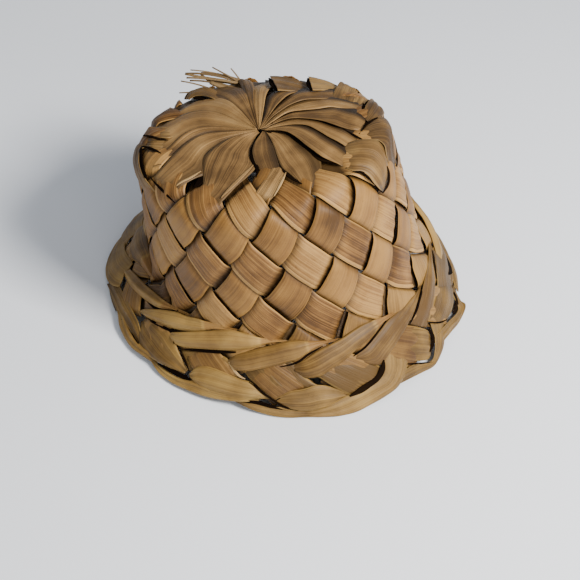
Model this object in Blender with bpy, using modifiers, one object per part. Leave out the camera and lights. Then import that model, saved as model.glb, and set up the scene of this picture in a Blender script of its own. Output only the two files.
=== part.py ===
"""A hat plaited by hand from flat strips of dried palm leaf.

A pleated fan of leaf closes the top of the crown. Its leaves turn over the shoulder as pointed folds and
go down the wall as a diagonal plait. Folded leaf twists lie round the foot of the crown, the plait goes on
into a drooping brim, and the strips turn back under the brim's edge. A few frayed ends stand at the back.

Metres, +Z up. The hat stands on its brim's edge at z = 0, with the brim's centre at the origin. Angles
round the hat are measured from -Y, its viewed side, and grow towards +X.
"""

import math

import bmesh
import bpy
from mathutils import Matrix, Vector

# The hat's outer sizes.
BRIM_RADIUS = 0.132
BRIM_WIDTH = 0.0615
CROWN_BASE_RADIUS = 0.097
CROWN_BASE_HEIGHT = 0.0504
CROWN_BASE_PLACE = (-0.003, -0.005)
CROWN_HEIGHT = 0.102
CROWN_TOP_RADIUS = 0.070
CROWN_TOP_DROP = 0.002
SHOULDER_ROUND = 0.016
CROWN_LEAN = math.radians(7.4)
CROWN_SHIFT = 0.010

# The plait: strips in each direction, their pitch down the wall, and the wall that they make.
STRIPS = 17
FIRST_ROW = 0.0761
ROW_PITCH = 0.02315
ROW_PHASE = math.radians(-9.4)
CROWN_ROWS = (1, 2, 3, 4)
BRIM_ROWS = (5, 6)
LEAF_THICKNESS = 0.0014
WEAVE_RELIEF = 0.0008
CROWN_OF_LEAF = 1.7
CROSSING_GAP = 0.09
CLEARANCE = 0.0004
WELD = 0.00001

# The pleated top.
PLEATS = 22
PLEAT_HEIGHT = 0.0013
PLEAT_FLANK = 0.22
PLEAT_SWIRL = math.radians(22)
FAN_RIM = 0.0705
FAN_RINGS = (0.05, 0.2, 0.4, 0.6, 0.8, 0.92, 1.0)

# The folds that stand up along the shoulder.
FOLD_TOP = 0.0718
FOLD_TIP_WIDTH = 0.0004
FOLD_ARCH = 0.0030
FOLD_SIDE_ARCH = 0.55
FOLD_FULLNESS = 0.8
FOLD_STEPS = 4

# The folded twists round the foot of the crown.
TWIST_THICKNESS = 0.0042
TWIST_REST = 0.0008
# The outline of a twist's section: places across its width and above its back, as shares.
TWIST_OUTLINE = ((-0.5, 0.0), (-0.42, 0.6), (-0.14, 1.0), (0.2, 0.95), (0.46, 0.5), (0.5, 0.0))
TWIST_WIDTH = 0.0158
TWIST_SLOPE = math.radians(31)
TWIST_DROP = 0.0070
TWIST_DROP_TILT = 0.0055

# The turned-back leaves along the brim's edge.
EDGE_PUFF = 0.0015
EDGE_FOOT = 0.0016
EDGE_ROWS = (0.0, 0.35, 0.7, 1.0)
EDGE_SIDES = (-1, -0.5, 0, 0.5, 1)

# The frayed ends at the back of the crown.
FRAY_ANGLE = math.radians(203)
FRAY_PLACE = 0.0860
FRAY_HEAD = (0.022, 0.007, 0.0025)
FRAY_LENGTH = 0.046
FRAY_ROOT = 0.002
FRAY_SPREAD = 0.9
FRAY_STRAND_RADIUS = 0.0011
FRAY_TAPER = 0.45
FRAY_SIDES = 5

HALF_PITCH = math.pi / STRIPS
LEAF_TAN = (0.46, 0.30, 0.15, 1.0)
LEAF_GOLD = (0.52, 0.36, 0.17, 1.0)
LEAF_ROSE = (0.50, 0.33, 0.20, 1.0)
LEAF_BROWN = (0.33, 0.21, 0.10, 1.0)

# Each twist's section along its length: place round the hat from its knuckle in half pitches, place down
# the brim as a share of the brim's width, and its width and thickness as shares of the full ones.
TWIST_SECTIONS = (
    {"turn": 1.05, "down": -0.020, "width": 0.12, "thickness": 0.35},
    {"turn": 0.20, "down": 0.020, "width": 0.34, "thickness": 0.80},
    {"turn": -0.50, "down": 0.145, "width": 0.84, "thickness": 1.00},
    {"turn": -1.20, "down": 0.280, "width": 1.00, "thickness": 1.00},
    {"turn": -1.80, "down": 0.400, "width": 0.86, "thickness": 0.75},
    {"turn": -2.30, "down": 0.500, "width": 0.40, "thickness": 0.40},
)

# The folds that stand higher than the others on the viewed hat's far side, by their number from the front.
TALL_FOLDS = {
    5: 2.2,
    6: 2.6,
    7: 3.0,
    8: 2.4,
}

# The frayed strands: side step as a share of the head's length, length as a share of the longest, and the
# way each points, out from the hat, along it and up.
FRAY_STRANDS = (
    {"step": -0.42, "length": 0.65, "out": 0.55, "along": 0.75, "up": 0.22},
    {"step": -0.28, "length": 0.89, "out": 0.45, "along": 0.85, "up": 0.30},
    {"step": -0.14, "length": 1.00, "out": 0.50, "along": 0.85, "up": 0.16},
    {"step": 0.00, "length": 0.96, "out": 0.35, "along": 0.90, "up": 0.34},
    {"step": 0.14, "length": 0.87, "out": 0.55, "along": 0.80, "up": 0.40},
    {"step": 0.28, "length": 0.74, "out": 0.40, "along": 0.80, "up": 0.52},
    {"step": 0.42, "length": 0.57, "out": 0.45, "along": 0.55, "up": 0.75},
)


def wall_flare():
    """Returns the angle by which the crown's wall opens towards its foot."""
    run = CROWN_BASE_RADIUS - CROWN_TOP_RADIUS - SHOULDER_ROUND
    return math.atan2(run, CROWN_HEIGHT - CROWN_TOP_DROP - SHOULDER_ROUND)


SHOULDER_TURN = math.pi / 2 - wall_flare()
WALL_START = CROWN_TOP_RADIUS + SHOULDER_ROUND * SHOULDER_TURN
WALL_TOP = (
    CROWN_TOP_RADIUS + SHOULDER_ROUND * math.sin(SHOULDER_TURN),
    CROWN_HEIGHT - CROWN_TOP_DROP - SHOULDER_ROUND * (1 - math.cos(SHOULDER_TURN)),
)
CROWN_FOOT = WALL_START + math.hypot(CROWN_BASE_RADIUS - WALL_TOP[0], WALL_TOP[1])
BRIM_EDGE = CROWN_FOOT + BRIM_WIDTH


def crown_profile(run):
    """Returns radius and height above the crown's foot at a distance run down from the crown's centre."""
    if run < CROWN_TOP_RADIUS:
        return run, CROWN_HEIGHT - CROWN_TOP_DROP * (run / CROWN_TOP_RADIUS) ** 2
    if run < WALL_START:
        turn = (run - CROWN_TOP_RADIUS) / SHOULDER_ROUND
        height = CROWN_HEIGHT - CROWN_TOP_DROP - SHOULDER_ROUND * (1 - math.cos(turn))
        return CROWN_TOP_RADIUS + SHOULDER_ROUND * math.sin(turn), height
    share = (run - WALL_START) / (CROWN_FOOT - WALL_START)
    return WALL_TOP[0] + share * (CROWN_BASE_RADIUS - WALL_TOP[0]), WALL_TOP[1] * (1 - share)


def crown_point(angle, run):
    """Returns a point of the leaning crown's middle surface."""
    radius, height = crown_profile(run)
    shift = CROWN_SHIFT * height / CROWN_HEIGHT
    local = Vector((radius * math.sin(angle) - shift, -radius * math.cos(angle), height))
    return Matrix.Rotation(-CROWN_LEAN, 3, "Y") @ local + Vector((*CROWN_BASE_PLACE, CROWN_BASE_HEIGHT))


def surface_point(angle, run):
    """Returns a point of the hat's middle surface, on the crown or on the brim."""
    if run <= CROWN_FOOT:
        return crown_point(angle, run)
    share = (run - CROWN_FOOT) / BRIM_WIDTH
    foot = crown_point(angle, CROWN_FOOT)
    edge = Vector((BRIM_RADIUS * math.sin(angle), -BRIM_RADIUS * math.cos(angle), EDGE_FOOT))
    return foot.lerp(edge, share)


def surface_normal(angle, run):
    """Returns the outward normal of the hat's middle surface."""
    step = 0.001
    near = max(run - step, step)
    down = surface_point(angle, near + 2 * step) - surface_point(angle, near)
    aside = surface_point(angle + step, run) - surface_point(angle - step, run)
    return aside.cross(down).normalized() * -1


def lifted_point(angle, run, lift):
    """Returns a point that stands off the middle surface by lift."""
    return surface_point(angle, run) + surface_normal(angle, run) * lift


def row_run(row):
    """Returns how far down from the crown's centre a row of crossings lies."""
    return FIRST_ROW + ROW_PITCH * row


def make_material(name, colour, roughness):
    """Returns a plain leaf material."""
    material = bpy.data.materials.new(name)
    material.use_nodes = True
    shader = material.node_tree.nodes["Principled BSDF"]
    shader.inputs["Base Color"].default_value = colour
    shader.inputs["Roughness"].default_value = roughness
    shader.inputs["Metallic"].default_value = 0.0
    return material


def make_object(name, mesh, material, collection):
    """Links a named object for a mesh."""
    thing = bpy.data.objects.new(name, mesh)
    thing.data.materials.append(material)
    collection.objects.link(thing)
    return thing


def finish_mesh(name, form):
    """Turns a bmesh into a mesh."""
    mesh = bpy.data.meshes.new(name)
    form.to_mesh(mesh)
    form.free()
    return mesh


def thicken(thing, thickness, offset=0.0):
    """Gives an open leaf surface its wall, about its middle."""
    wall = thing.modifiers.new("wall", "SOLIDIFY")
    wall.thickness = thickness
    wall.offset = offset
    return thing


def cell_side(side, free):
    """Returns the two ends of one side of a cell, in half pitches and rows from the cell's centre.

    The sides go round the cell from its top corner. A free side is drawn in, clear of the next piece.
    """
    gap = CROSSING_GAP
    ends = (
        ((gap, gap - 1), (1 - gap, -gap)),
        ((1 - gap, gap), (gap, 1 - gap)),
        ((-gap, 1 - gap), (gap - 1, gap)),
        ((gap - 1, -gap), (-gap, gap - 1)),
    )[side]
    scale = 1 - 2 * CLEARANCE / ROW_PITCH if free else 1
    return [(column * scale, row * scale) for column, row in ends]


def add_cell(form, corner, column, row, rows):
    """Adds one cell: a strip that is high along its two sides and dives under its neighbours at its ends."""
    # A leaf of an even row's cell runs down to the right, and one of an odd row's runs down to the left.
    over = 0 if row % 2 == 0 else 1
    loops = []
    for turn in range(4):
        side = (over + turn) % 4
        beside = row + (-1 if side in (0, 3) else 1)
        level = 1 if turn % 2 == 0 else -1
        ends = [(column + c, row + r) for c, r in cell_side(side, beside not in rows)]
        loops.append([corner(c, r, level) for c, r in ends])
        if level == 1 and beside in rows:
            first, second = [corner(c, r, -1) for c, r in ends]
            form.faces.new((loops[-1][0], first, second, loops[-1][1]))
    a, b, c, d = loops
    crest = corner(column, row, CROWN_OF_LEAF)
    for first, second in ((a[0], a[1]), (a[1], c[0]), (c[0], c[1]), (c[1], a[0])):
        form.faces.new((first, second, crest))
    form.faces.new((a[1], b[0], b[1], c[0]))
    form.faces.new((c[1], d[0], d[1], a[0]))


def plait_mesh(name, rows):
    """Builds the surface of a plaited band, open at every crossing.

    It is laid out flat first, in half pitches and rows, then creased where the crown meets the brim and
    wrapped round the hat.
    """
    form = bmesh.new()
    corners = {}

    def corner(column, row, level):
        key = (round(column * 1000), round(row * 1000), level)
        if key not in corners:
            corners[key] = form.verts.new((column, row, level))
        return corners[key]

    for row in rows:
        for number in range(STRIPS):
            add_cell(form, corner, 2 * number + row % 2, row, rows)
    crease = (CROWN_FOOT - FIRST_ROW) / ROW_PITCH
    everything = list(form.verts) + list(form.edges) + list(form.faces)
    bmesh.ops.bisect_plane(form, geom=everything, plane_co=(0, crease, 0), plane_no=(0, 1, 0))
    for vertex in form.verts:
        column, row, level = vertex.co
        vertex.co = lifted_point(ROW_PHASE + column * HALF_PITCH, row_run(row), WEAVE_RELIEF * level)
    bmesh.ops.remove_doubles(form, verts=form.verts, dist=WELD)
    return finish_mesh(name, form)


def make_plait(name, rows, material, collection):
    """Makes one plaited band as a single wall with its crossings cut through."""
    plait = make_object(name, plait_mesh(name, rows), material, collection)
    return thicken(plait, LEAF_THICKNESS)


def make_fan(material, collection):
    """Makes the pleated fan of leaf that closes the crown's top."""
    form = bmesh.new()
    middle = form.verts.new(lifted_point(0, 0.0001, 0))
    rings = []
    for share in FAN_RINGS:
        ring = []
        for pleat in range(PLEATS):
            for place, level in ((0.0, 1.0), (PLEAT_FLANK, -1.0)):
                angle = (pleat + place) * 2 * math.pi / PLEATS
                angle -= PLEAT_SWIRL * math.sin(angle) * share**2
                lift = level * PLEAT_HEIGHT * min(1.0, 2 * share) / 2
                ring.append(form.verts.new(lifted_point(angle, FAN_RIM * share, lift)))
        rings.append(ring)
    count = len(rings[0])
    for k in range(count):
        form.faces.new((middle, rings[0][(k + 1) % count], rings[0][k]))
        for inner, outer in zip(rings, rings[1:]):
            form.faces.new((inner[k], inner[(k + 1) % count], outer[(k + 1) % count], outer[k]))
    bmesh.ops.recalc_face_normals(form, faces=form.faces)
    fan = make_object("crown_fan", finish_mesh("crown_fan", form), material, collection)
    return thicken(fan, LEAF_THICKNESS)


def make_fold(number, material, collection):
    """Makes one pointed fold, where a leaf turns over the shoulder between two cells of the plait."""
    arch = FOLD_ARCH * TALL_FOLDS.get(number, 1.0)
    tip_run = row_run(1) - CLEARANCE * 3
    form = bmesh.new()
    rows = []
    for step in range(FOLD_STEPS + 1):
        share = step / FOLD_STEPS
        run = FOLD_TOP + share * (tip_run - FOLD_TOP)
        inset = CLEARANCE * 2 / crown_profile(run)[0]
        room = (row_run(1) - max(run, row_run(0))) / ROW_PITCH * HALF_PITCH
        half = max(room - inset, FOLD_TIP_WIDTH / crown_profile(run)[0])
        lift = arch * math.sin(math.pi * share) ** FOLD_FULLNESS
        row = []
        for side in (-1, 0, 1):
            angle = ROW_PHASE + 2 * number * HALF_PITCH + side * half
            height = lift * (1.0 if side == 0 else FOLD_SIDE_ARCH)
            row.append(form.verts.new(lifted_point(angle, run, height)))
        rows.append(row)
    for upper, lower in zip(rows, rows[1:]):
        for k in range(2):
            form.faces.new((upper[k], lower[k], lower[k + 1], upper[k + 1]))
    name = f"shoulder_fold_{number + 1:02d}"
    return thicken(make_object(name, finish_mesh(name, form), material, collection), LEAF_THICKNESS)


def twist_start(angle):
    """Returns how far down the brim the ring of twists lies at an angle."""
    return CROWN_FOOT + TWIST_DROP + TWIST_DROP_TILT * math.sin(angle)


def make_twist(number, material, collection):
    """Makes one folded leaf twist: a flat spindle that lies on the plait round the crown's foot."""
    base_lift = WEAVE_RELIEF * CROWN_OF_LEAF + LEAF_THICKNESS / 2 + TWIST_REST
    knuckle = ROW_PHASE + (2 * number + 1) * HALF_PITCH
    form = bmesh.new()
    loops = []
    for part in TWIST_SECTIONS:
        angle = knuckle + part["turn"] * HALF_PITCH
        run = twist_start(knuckle) + part["down"] * BRIM_WIDTH
        width = part["width"] * TWIST_WIDTH
        thick = part["thickness"] * TWIST_THICKNESS
        loop = []
        for across, height in TWIST_OUTLINE:
            aside = across * width * math.sin(TWIST_SLOPE) / CROWN_BASE_RADIUS
            down = across * width * math.cos(TWIST_SLOPE)
            loop.append(form.verts.new(lifted_point(angle + aside, run + down, base_lift + height * thick)))
        loops.append(loop)
    count = len(loops[0])
    for first, second in zip(loops, loops[1:]):
        for k in range(count):
            form.faces.new((first[k], first[(k + 1) % count], second[(k + 1) % count], second[k]))
    form.faces.new(loops[0])
    form.faces.new(loops[-1])
    bmesh.ops.recalc_face_normals(form, faces=form.faces)
    name = f"twist_{number + 1:02d}"
    return make_object(name, finish_mesh(name, form), material, collection)


def make_edge(number, material, collection):
    """Makes one leaf that is turned back along the brim's edge, in the notch between two cells.

    Its foot is flat at z = 0, so that the hat stands on it.
    """
    centre = ROW_PHASE + (2 * number + 1) * HALF_PITCH
    start = row_run(BRIM_ROWS[-1]) + CLEARANCE * 3
    form = bmesh.new()
    rows = []
    for share in EDGE_ROWS:
        run = start + share * (BRIM_EDGE - start)
        inset = CLEARANCE * 2 / BRIM_RADIUS
        reach = (run - row_run(BRIM_ROWS[-1])) / ROW_PITCH
        half = min(reach * HALF_PITCH, HALF_PITCH) - inset
        row = []
        for side in EDGE_SIDES:
            puff = EDGE_PUFF * math.sin(math.pi * share) * (1 - side * side)
            row.append((centre + side * max(half, inset), run, LEAF_THICKNESS / 2 + puff))
        rows.append(row)
    outer = [[form.verts.new(lifted_point(angle, run, lift)) for angle, run, lift in row] for row in rows]
    inner = [[form.verts.new(lifted_point(angle, run, -lift)) for angle, run, lift in row] for row in rows]
    for row in (outer[-1], inner[-1]):
        for vertex in row:
            vertex.co.z = 0.0
    for sheet in (outer, inner):
        for upper, lower in zip(sheet, sheet[1:]):
            for k in range(len(EDGE_SIDES) - 1):
                form.faces.new((upper[k], lower[k], lower[k + 1], upper[k + 1]))
    for k in range(len(EDGE_SIDES) - 1):
        form.faces.new((outer[0][k], outer[0][k + 1], inner[0][k + 1], inner[0][k]))
        form.faces.new((outer[-1][k], inner[-1][k], inner[-1][k + 1], outer[-1][k + 1]))
    for k in range(len(EDGE_ROWS) - 1):
        form.faces.new((outer[k][0], outer[k + 1][0], inner[k + 1][0], inner[k][0]))
        form.faces.new((outer[k][-1], inner[k][-1], inner[k + 1][-1], outer[k + 1][-1]))
    bmesh.ops.recalc_face_normals(form, faces=form.faces)
    name = f"edge_leaf_{number + 1:02d}"
    return make_object(name, finish_mesh(name, form), material, collection)


def move_to(thing, collection):
    """Leaves an object in one collection only."""
    for owner in list(thing.users_collection):
        owner.objects.unlink(thing)
    collection.objects.link(thing)


def fray_frame():
    """Returns the place of the frayed ends' head: along the shoulder, up it and out from it."""
    out = surface_normal(FRAY_ANGLE, FRAY_PLACE)
    along = Vector((math.cos(FRAY_ANGLE), math.sin(FRAY_ANGLE), 0))
    along = (along - out * along.dot(out)).normalized()
    up = out.cross(along)
    frame = Matrix((along, up, out)).transposed().to_4x4()
    lift = FOLD_ARCH + LEAF_THICKNESS / 2 + CLEARANCE + FRAY_HEAD[2] / 2
    frame.translation = lifted_point(FRAY_ANGLE, FRAY_PLACE, lift)
    return frame


def make_strand(number, frame, cutters):
    """Makes one tapered strand, to be joined to the head."""
    strand = FRAY_STRANDS[number]
    along, _, out = (Vector(frame.col[k][:3]) for k in range(3))
    way = (along * strand["along"] + out * strand["out"] + Vector((0, 0, strand["up"]))).normalized()
    length = strand["length"] * FRAY_LENGTH
    root = frame.translation + along * strand["step"] * FRAY_HEAD[0] * FRAY_SPREAD - way * FRAY_ROOT
    bpy.ops.mesh.primitive_cone_add(
        vertices=FRAY_SIDES,
        radius1=FRAY_STRAND_RADIUS,
        radius2=FRAY_STRAND_RADIUS * FRAY_TAPER,
        depth=length,
    )
    cone = bpy.context.object
    cone.name = f"strand_{number + 1:02d}"
    turn = way.to_track_quat("Z", "Y").to_matrix().to_4x4()
    cone.matrix_world = Matrix.Translation(root + way * length / 2) @ turn
    move_to(cone, cutters)
    cone.hide_render = True
    cone.display_type = "WIRE"
    return cone


def make_frayed_ends(material, collection, cutters):
    """Makes the frayed ends: tapered strands joined to a small head that lies on the shoulder."""
    frame = fray_frame()
    bpy.ops.mesh.primitive_cube_add(size=1)
    head = bpy.context.object
    head.name = "frayed_ends"
    head.data.transform(Matrix.Diagonal((*FRAY_HEAD, 1)))
    head.matrix_world = frame
    head.data.materials.append(material)
    move_to(head, collection)
    for number in range(len(FRAY_STRANDS)):
        join = head.modifiers.new(f"strand_{number + 1:02d}", "BOOLEAN")
        join.operation = "UNION"
        join.solver = "EXACT"
        join.object = make_strand(number, frame, cutters)
    return head


def make_hat():
    """Builds every piece of the hat."""
    for thing in list(bpy.data.objects):
        bpy.data.objects.remove(thing)
    scene = bpy.context.scene
    hat = bpy.data.collections.new("palm_leaf_hat")
    cutters = bpy.data.collections.new("joined_shapes")
    scene.collection.children.link(hat)
    scene.collection.children.link(cutters)
    tan = make_material("leaf_tan", LEAF_TAN, 0.6)
    gold = make_material("leaf_gold", LEAF_GOLD, 0.55)
    rose = make_material("leaf_rose", LEAF_ROSE, 0.6)
    brown = make_material("leaf_brown", LEAF_BROWN, 0.7)
    make_fan(tan, hat)
    make_plait("crown_weave", CROWN_ROWS, rose, hat)
    make_plait("brim_weave", BRIM_ROWS, tan, hat)
    for number in range(STRIPS):
        make_fold(number, tan, hat)
        make_twist(number, gold, hat)
        make_edge(number, gold, hat)
    make_frayed_ends(brown, hat, cutters)


make_hat()
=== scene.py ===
"""Looks of a hat plaited by hand from dried palm leaf, built over its CAD solids.

Every leaf is a ribbon swept along a guide that lies on one shared hat surface. A place on that surface is
an angle round the hat, from the front towards +X, and a run, the distance down from the crown's centre.
"""

import logging
import math
import random
from dataclasses import dataclass, field
from enum import Enum

import bpy
from mathutils import Matrix, Vector


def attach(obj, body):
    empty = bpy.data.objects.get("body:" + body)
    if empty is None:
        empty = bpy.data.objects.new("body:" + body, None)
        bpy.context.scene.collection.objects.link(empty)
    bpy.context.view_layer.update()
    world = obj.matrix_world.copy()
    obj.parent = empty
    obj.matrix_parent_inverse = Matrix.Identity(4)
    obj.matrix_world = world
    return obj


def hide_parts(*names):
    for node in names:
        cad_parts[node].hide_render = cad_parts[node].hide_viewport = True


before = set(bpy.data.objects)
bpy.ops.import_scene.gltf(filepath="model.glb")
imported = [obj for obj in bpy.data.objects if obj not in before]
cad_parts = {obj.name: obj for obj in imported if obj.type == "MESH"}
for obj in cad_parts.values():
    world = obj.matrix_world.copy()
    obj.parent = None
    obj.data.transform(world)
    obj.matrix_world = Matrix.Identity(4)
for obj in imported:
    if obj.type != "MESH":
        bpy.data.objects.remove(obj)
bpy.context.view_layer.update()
LOG = logging.getLogger("palm_leaf_hat")
MM = 0.001
# Below this height leaf is pressed flat, so that none passes the floor.
FLOOR_ZONE = 0.0015


def smooth(low: float, high: float, value: float) -> float:
    """Eases from 0 to 1 as a value changes.

    Args:
        low: The value that gives 0.
        high: The value that gives 1. It may also be the smaller one.
        value: The value.

    Returns:
        The eased share.
    """
    share = min(max((value - low) / (high - low), 0.0), 1.0)
    return share * share * (3 - 2 * share)


@dataclass(frozen=True)
class HatForm:
    """The middle surface that every leaf of the hat lies on."""

    brim_radius: float = 0.132
    brim_width: float = 0.0615
    crown_base_radius: float = 0.097
    crown_base_height: float = 0.0504
    crown_base_place: tuple[float, float] = (-0.003, -0.005)
    crown_height: float = 0.102
    crown_top_radius: float = 0.070
    crown_top_drop: float = 0.002
    shoulder_round: float = 0.016
    crown_lean: float = math.radians(7.4)
    crown_shift: float = 0.010
    back_dip: float = 0.011
    dip_begins: tuple[float, float] = (0.030, 0.080)
    dip_ends: tuple[float, float] = (0.085, 0.165)
    edge_foot: float = 0.0016

    @property
    def shoulder_turn(self) -> float:
        """Returns the angle that the shoulder turns through."""
        run = self.crown_base_radius - self.crown_top_radius - self.shoulder_round
        return math.pi / 2 - math.atan2(run, self.crown_height - self.crown_top_drop - self.shoulder_round)

    @property
    def wall_start(self) -> float:
        """Returns the run at which the straight wall begins."""
        return self.crown_top_radius + self.shoulder_round * self.shoulder_turn

    @property
    def wall_top(self) -> tuple[float, float]:
        """Returns the radius and height of the wall's upper end."""
        turn = self.shoulder_turn
        height = self.crown_height - self.crown_top_drop - self.shoulder_round * (1 - math.cos(turn))
        return self.crown_top_radius + self.shoulder_round * math.sin(turn), height

    @property
    def crown_foot(self) -> float:
        """Returns the run at which the crown meets the brim."""
        radius, height = self.wall_top
        return self.wall_start + math.hypot(self.crown_base_radius - radius, height)

    def profile(self, run: float) -> tuple[float, float]:
        """Follows the crown's side.

        Args:
            run: Distance down from the crown's centre.

        Returns:
            The radius and the height above the crown's foot.
        """
        if run < self.crown_top_radius:
            return run, self.crown_height - self.crown_top_drop * (run / self.crown_top_radius) ** 2
        if run < self.wall_start:
            turn = (run - self.crown_top_radius) / self.shoulder_round
            height = self.crown_height - self.crown_top_drop - self.shoulder_round * (1 - math.cos(turn))
            return self.crown_top_radius + self.shoulder_round * math.sin(turn), height
        radius, height = self.wall_top
        share = (run - self.wall_start) / (self.crown_foot - self.wall_start)
        return radius + share * (self.crown_base_radius - radius), height * (1 - share)

    def point(self, angle: float, run: float, lift: float = 0.0) -> Vector:
        """Finds a place on the hat.

        Args:
            angle: Angle round the hat, in radians.
            run: Distance down from the crown's centre.
            lift: Height above the middle surface.

        Returns:
            The place in the part's frame.
        """
        if run > self.crown_foot:
            share = (run - self.crown_foot) / self.brim_width
            foot = self.point(angle, self.crown_foot)
            flat = Vector((math.sin(angle), -math.cos(angle), 0)) * self.brim_radius
            place = foot.lerp(flat + Vector((0, 0, self.edge_foot)), share)
        else:
            radius, height = self.profile(run)
            dip = smooth(*self.dip_begins, run) * (1 - smooth(*self.dip_ends, run))
            height -= self.back_dip * dip * max(-math.cos(angle), 0.0)
            shift = self.crown_shift * height / self.crown_height
            local = Vector((radius * math.sin(angle) - shift, -radius * math.cos(angle), height))
            turned = Matrix.Rotation(-self.crown_lean, 3, "Y") @ local
            place = turned + Vector((*self.crown_base_place, self.crown_base_height))
        return place + self.normal(angle, run) * lift if lift else place

    def normal(self, angle: float, run: float) -> Vector:
        """Finds the way out of the hat at a place.

        Args:
            angle: Angle round the hat, in radians.
            run: Distance down from the crown's centre.

        Returns:
            The outward normal, rounded off a little over the crown's foot.
        """
        step = 0.004 if run > self.wall_start else 0.001
        near = max(run - step, 0.0005)
        down = self.point(angle, run + step) - self.point(angle, near)
        aside = self.point(angle + 0.01, run) - self.point(angle - 0.01, run)
        return down.cross(aside).normalized()


FORM = HatForm()


@dataclass(frozen=True)
class Plait:
    """The lattice of the plait: 17 strips each way, on rows of crossings down the hat."""

    strips: int = 17
    first_row: float = 0.0761
    row_pitch: float = 0.02315
    phase: float = math.radians(-9.4)
    brim_phase: float = math.radians(5.0)
    brim_rows: tuple[float, float] = (4.2, 6.0)
    front_spread: float = 0.035
    brim_spread: float = 0.10

    def run(self, row: float) -> float:
        """Returns the run of a row."""
        return self.first_row + self.row_pitch * row

    def angle(self, column: float, row: float) -> float:
        """Places a column of the lattice, with the leaves spread a little wider at the hat's front.

        Args:
            column: Place round the hat, in half pitches.
            row: Place down the hat, in rows.

        Returns:
            The angle round the hat.
        """
        low = smooth(*self.brim_rows, row)
        even = self.phase + low * self.brim_phase + column * (math.pi / self.strips)
        return even + (self.front_spread + self.brim_spread * low) * math.sin(even)


PLAIT = Plait()


# The centre, half-width vector, upward vector, camber and depth under other leaves of one ring; the depth
# sets the painted shade of a leaf that lies under others.
Ring = tuple[Vector, Vector, Vector, float, float]


class Lay(Enum):
    """The two ways in which the strips of the plait run."""

    DOWN_RIGHT = 1
    DOWN_LEFT = -1


@dataclass
class Guide:
    """The rings that leaves are swept along: one entry in every list is one ring of one leaf."""

    centres: list[Vector] = field(default_factory=list)
    across: list[Vector] = field(default_factory=list)
    rise: list[Vector] = field(default_factory=list)
    camber: list[float] = field(default_factory=list)
    leaf: list[float] = field(default_factory=list)
    tone: list[float] = field(default_factory=list)
    along: list[float] = field(default_factory=list)
    share: list[float] = field(default_factory=list)
    tuck_shade: list[float] = field(default_factory=list)
    shadow: list[float] = field(default_factory=list)
    leaves: int = 0

    def add(self, rings: list[Ring], tone: float, reach: float = 1.0, shadow: float = 0.0) -> None:
        """Adds one leaf.

        Args:
            rings: Its rings.
            tone: Its tone, about 0 for dark to 1 for light, lowered by any painted shade of the whole leaf.
            reach: The share of the leaf's length that its last ring stands for.
            shadow: How much painted shadow darkens its second side, where a raised neighbour lies over it.
        """
        length = 0.0
        last = rings[0][0]
        for number, (centre, across, rise, camber, tuck_shade) in enumerate(rings):
            length += (centre - last).length
            last = centre
            self.centres.append(centre)
            self.across.append(across)
            self.rise.append(rise.normalized())
            self.camber.append(camber)
            self.leaf.append(float(self.leaves))
            self.tone.append(tone)
            self.along.append(length)
            self.share.append(reach * number / (len(rings) - 1))
            self.tuck_shade.append(tuck_shade)
            self.shadow.append(shadow)
        self.leaves += 1

    def mesh(self, name: str) -> bpy.types.Mesh:
        """Stores the rings as a mesh of loose points.

        Args:
            name: Name of the mesh.

        Returns:
            The mesh, with one named attribute for each list.
        """
        mesh = bpy.data.meshes.new(name)
        mesh.from_pydata([tuple(v) for v in self.centres], [], [])
        for title in ("across", "rise"):
            layer = mesh.attributes.new(title, "FLOAT_VECTOR", "POINT")
            layer.data.foreach_set("vector", [x for v in getattr(self, title) for x in v])
        for title in ("camber", "leaf", "tone", "along", "share", "tuck_shade", "shadow"):
            layer = mesh.attributes.new(title, "FLOAT", "POINT")
            layer.data.foreach_set("value", getattr(self, title))
        return mesh


class TreeMaker:
    """Adds nodes to one tree."""

    def __init__(self, tree: bpy.types.NodeTree) -> None:
        """Keeps the tree.

        Args:
            tree: Where the nodes go.
        """
        self.tree = tree

    def node(
        self,
        kind: str,
        settings: dict[str, object] | None = None,
        values: dict[str | int, object] | None = None,
    ) -> bpy.types.Node:
        """Adds a node.

        Args:
            kind: The node's type.
            settings: Its own properties, set first.
            values: What each input takes: a value, a socket or an expression.

        Returns:
            The node.
        """
        made = self.tree.nodes.new(kind)
        for key, value in (settings or {}).items():
            setattr(made, key, value)
        for key, value in (values or {}).items():
            socket = made.inputs[key]
            if isinstance(value, Term):
                value = value.socket
            if isinstance(value, bpy.types.NodeSocket):
                self.tree.links.new(value, socket)
            else:
                socket.default_value = value
        return made

    def term(self, socket: bpy.types.NodeSocket) -> "Term":
        """Wraps a socket for use in expressions."""
        return Term(self, socket)

    def carried(self, name: str) -> "Term":
        """Reads a number that the leaves carry, in a material."""
        return self.term(self.node("ShaderNodeAttribute", {"attribute_name": name}).outputs["Fac"])

    def vector(self, operation: str, first: object, second: object) -> bpy.types.NodeSocket:
        """Adds a Vector Math node.

        Args:
            operation: Its operation.
            first: The first vector.
            second: The second vector, or the factor that scales the first.

        Returns:
            The resulting vector's socket.
        """
        other = "Scale" if operation == "SCALE" else 1
        made = self.node("ShaderNodeVectorMath", {"operation": operation}, {0: first, other: second})
        return made.outputs[0]

    def mix(self, factor: "Term", first: object, second: object) -> bpy.types.NodeSocket:
        """Mixes two colours.

        Args:
            factor: 0 for the first, 1 for the second.
            first: A colour or its socket.
            second: A colour or its socket.

        Returns:
            The mixed colour's socket.
        """
        made = self.node("ShaderNodeMix", {"data_type": "RGBA"}, {0: factor, 6: first, 7: second})
        return made.outputs[2]

    def noise(self, place: bpy.types.NodeSocket, scale: float, detail: float) -> "Term":
        """Adds noise in space.

        Args:
            place: Where it is read.
            scale: Its steps to the metre.
            detail: Its octaves.

        Returns:
            The noise, 0 to 1.
        """
        values = {"Vector": place, "Scale": scale, "Detail": detail}
        return self.term(self.node("ShaderNodeTexNoise", {"noise_dimensions": "3D"}, values).outputs[0])


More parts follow.
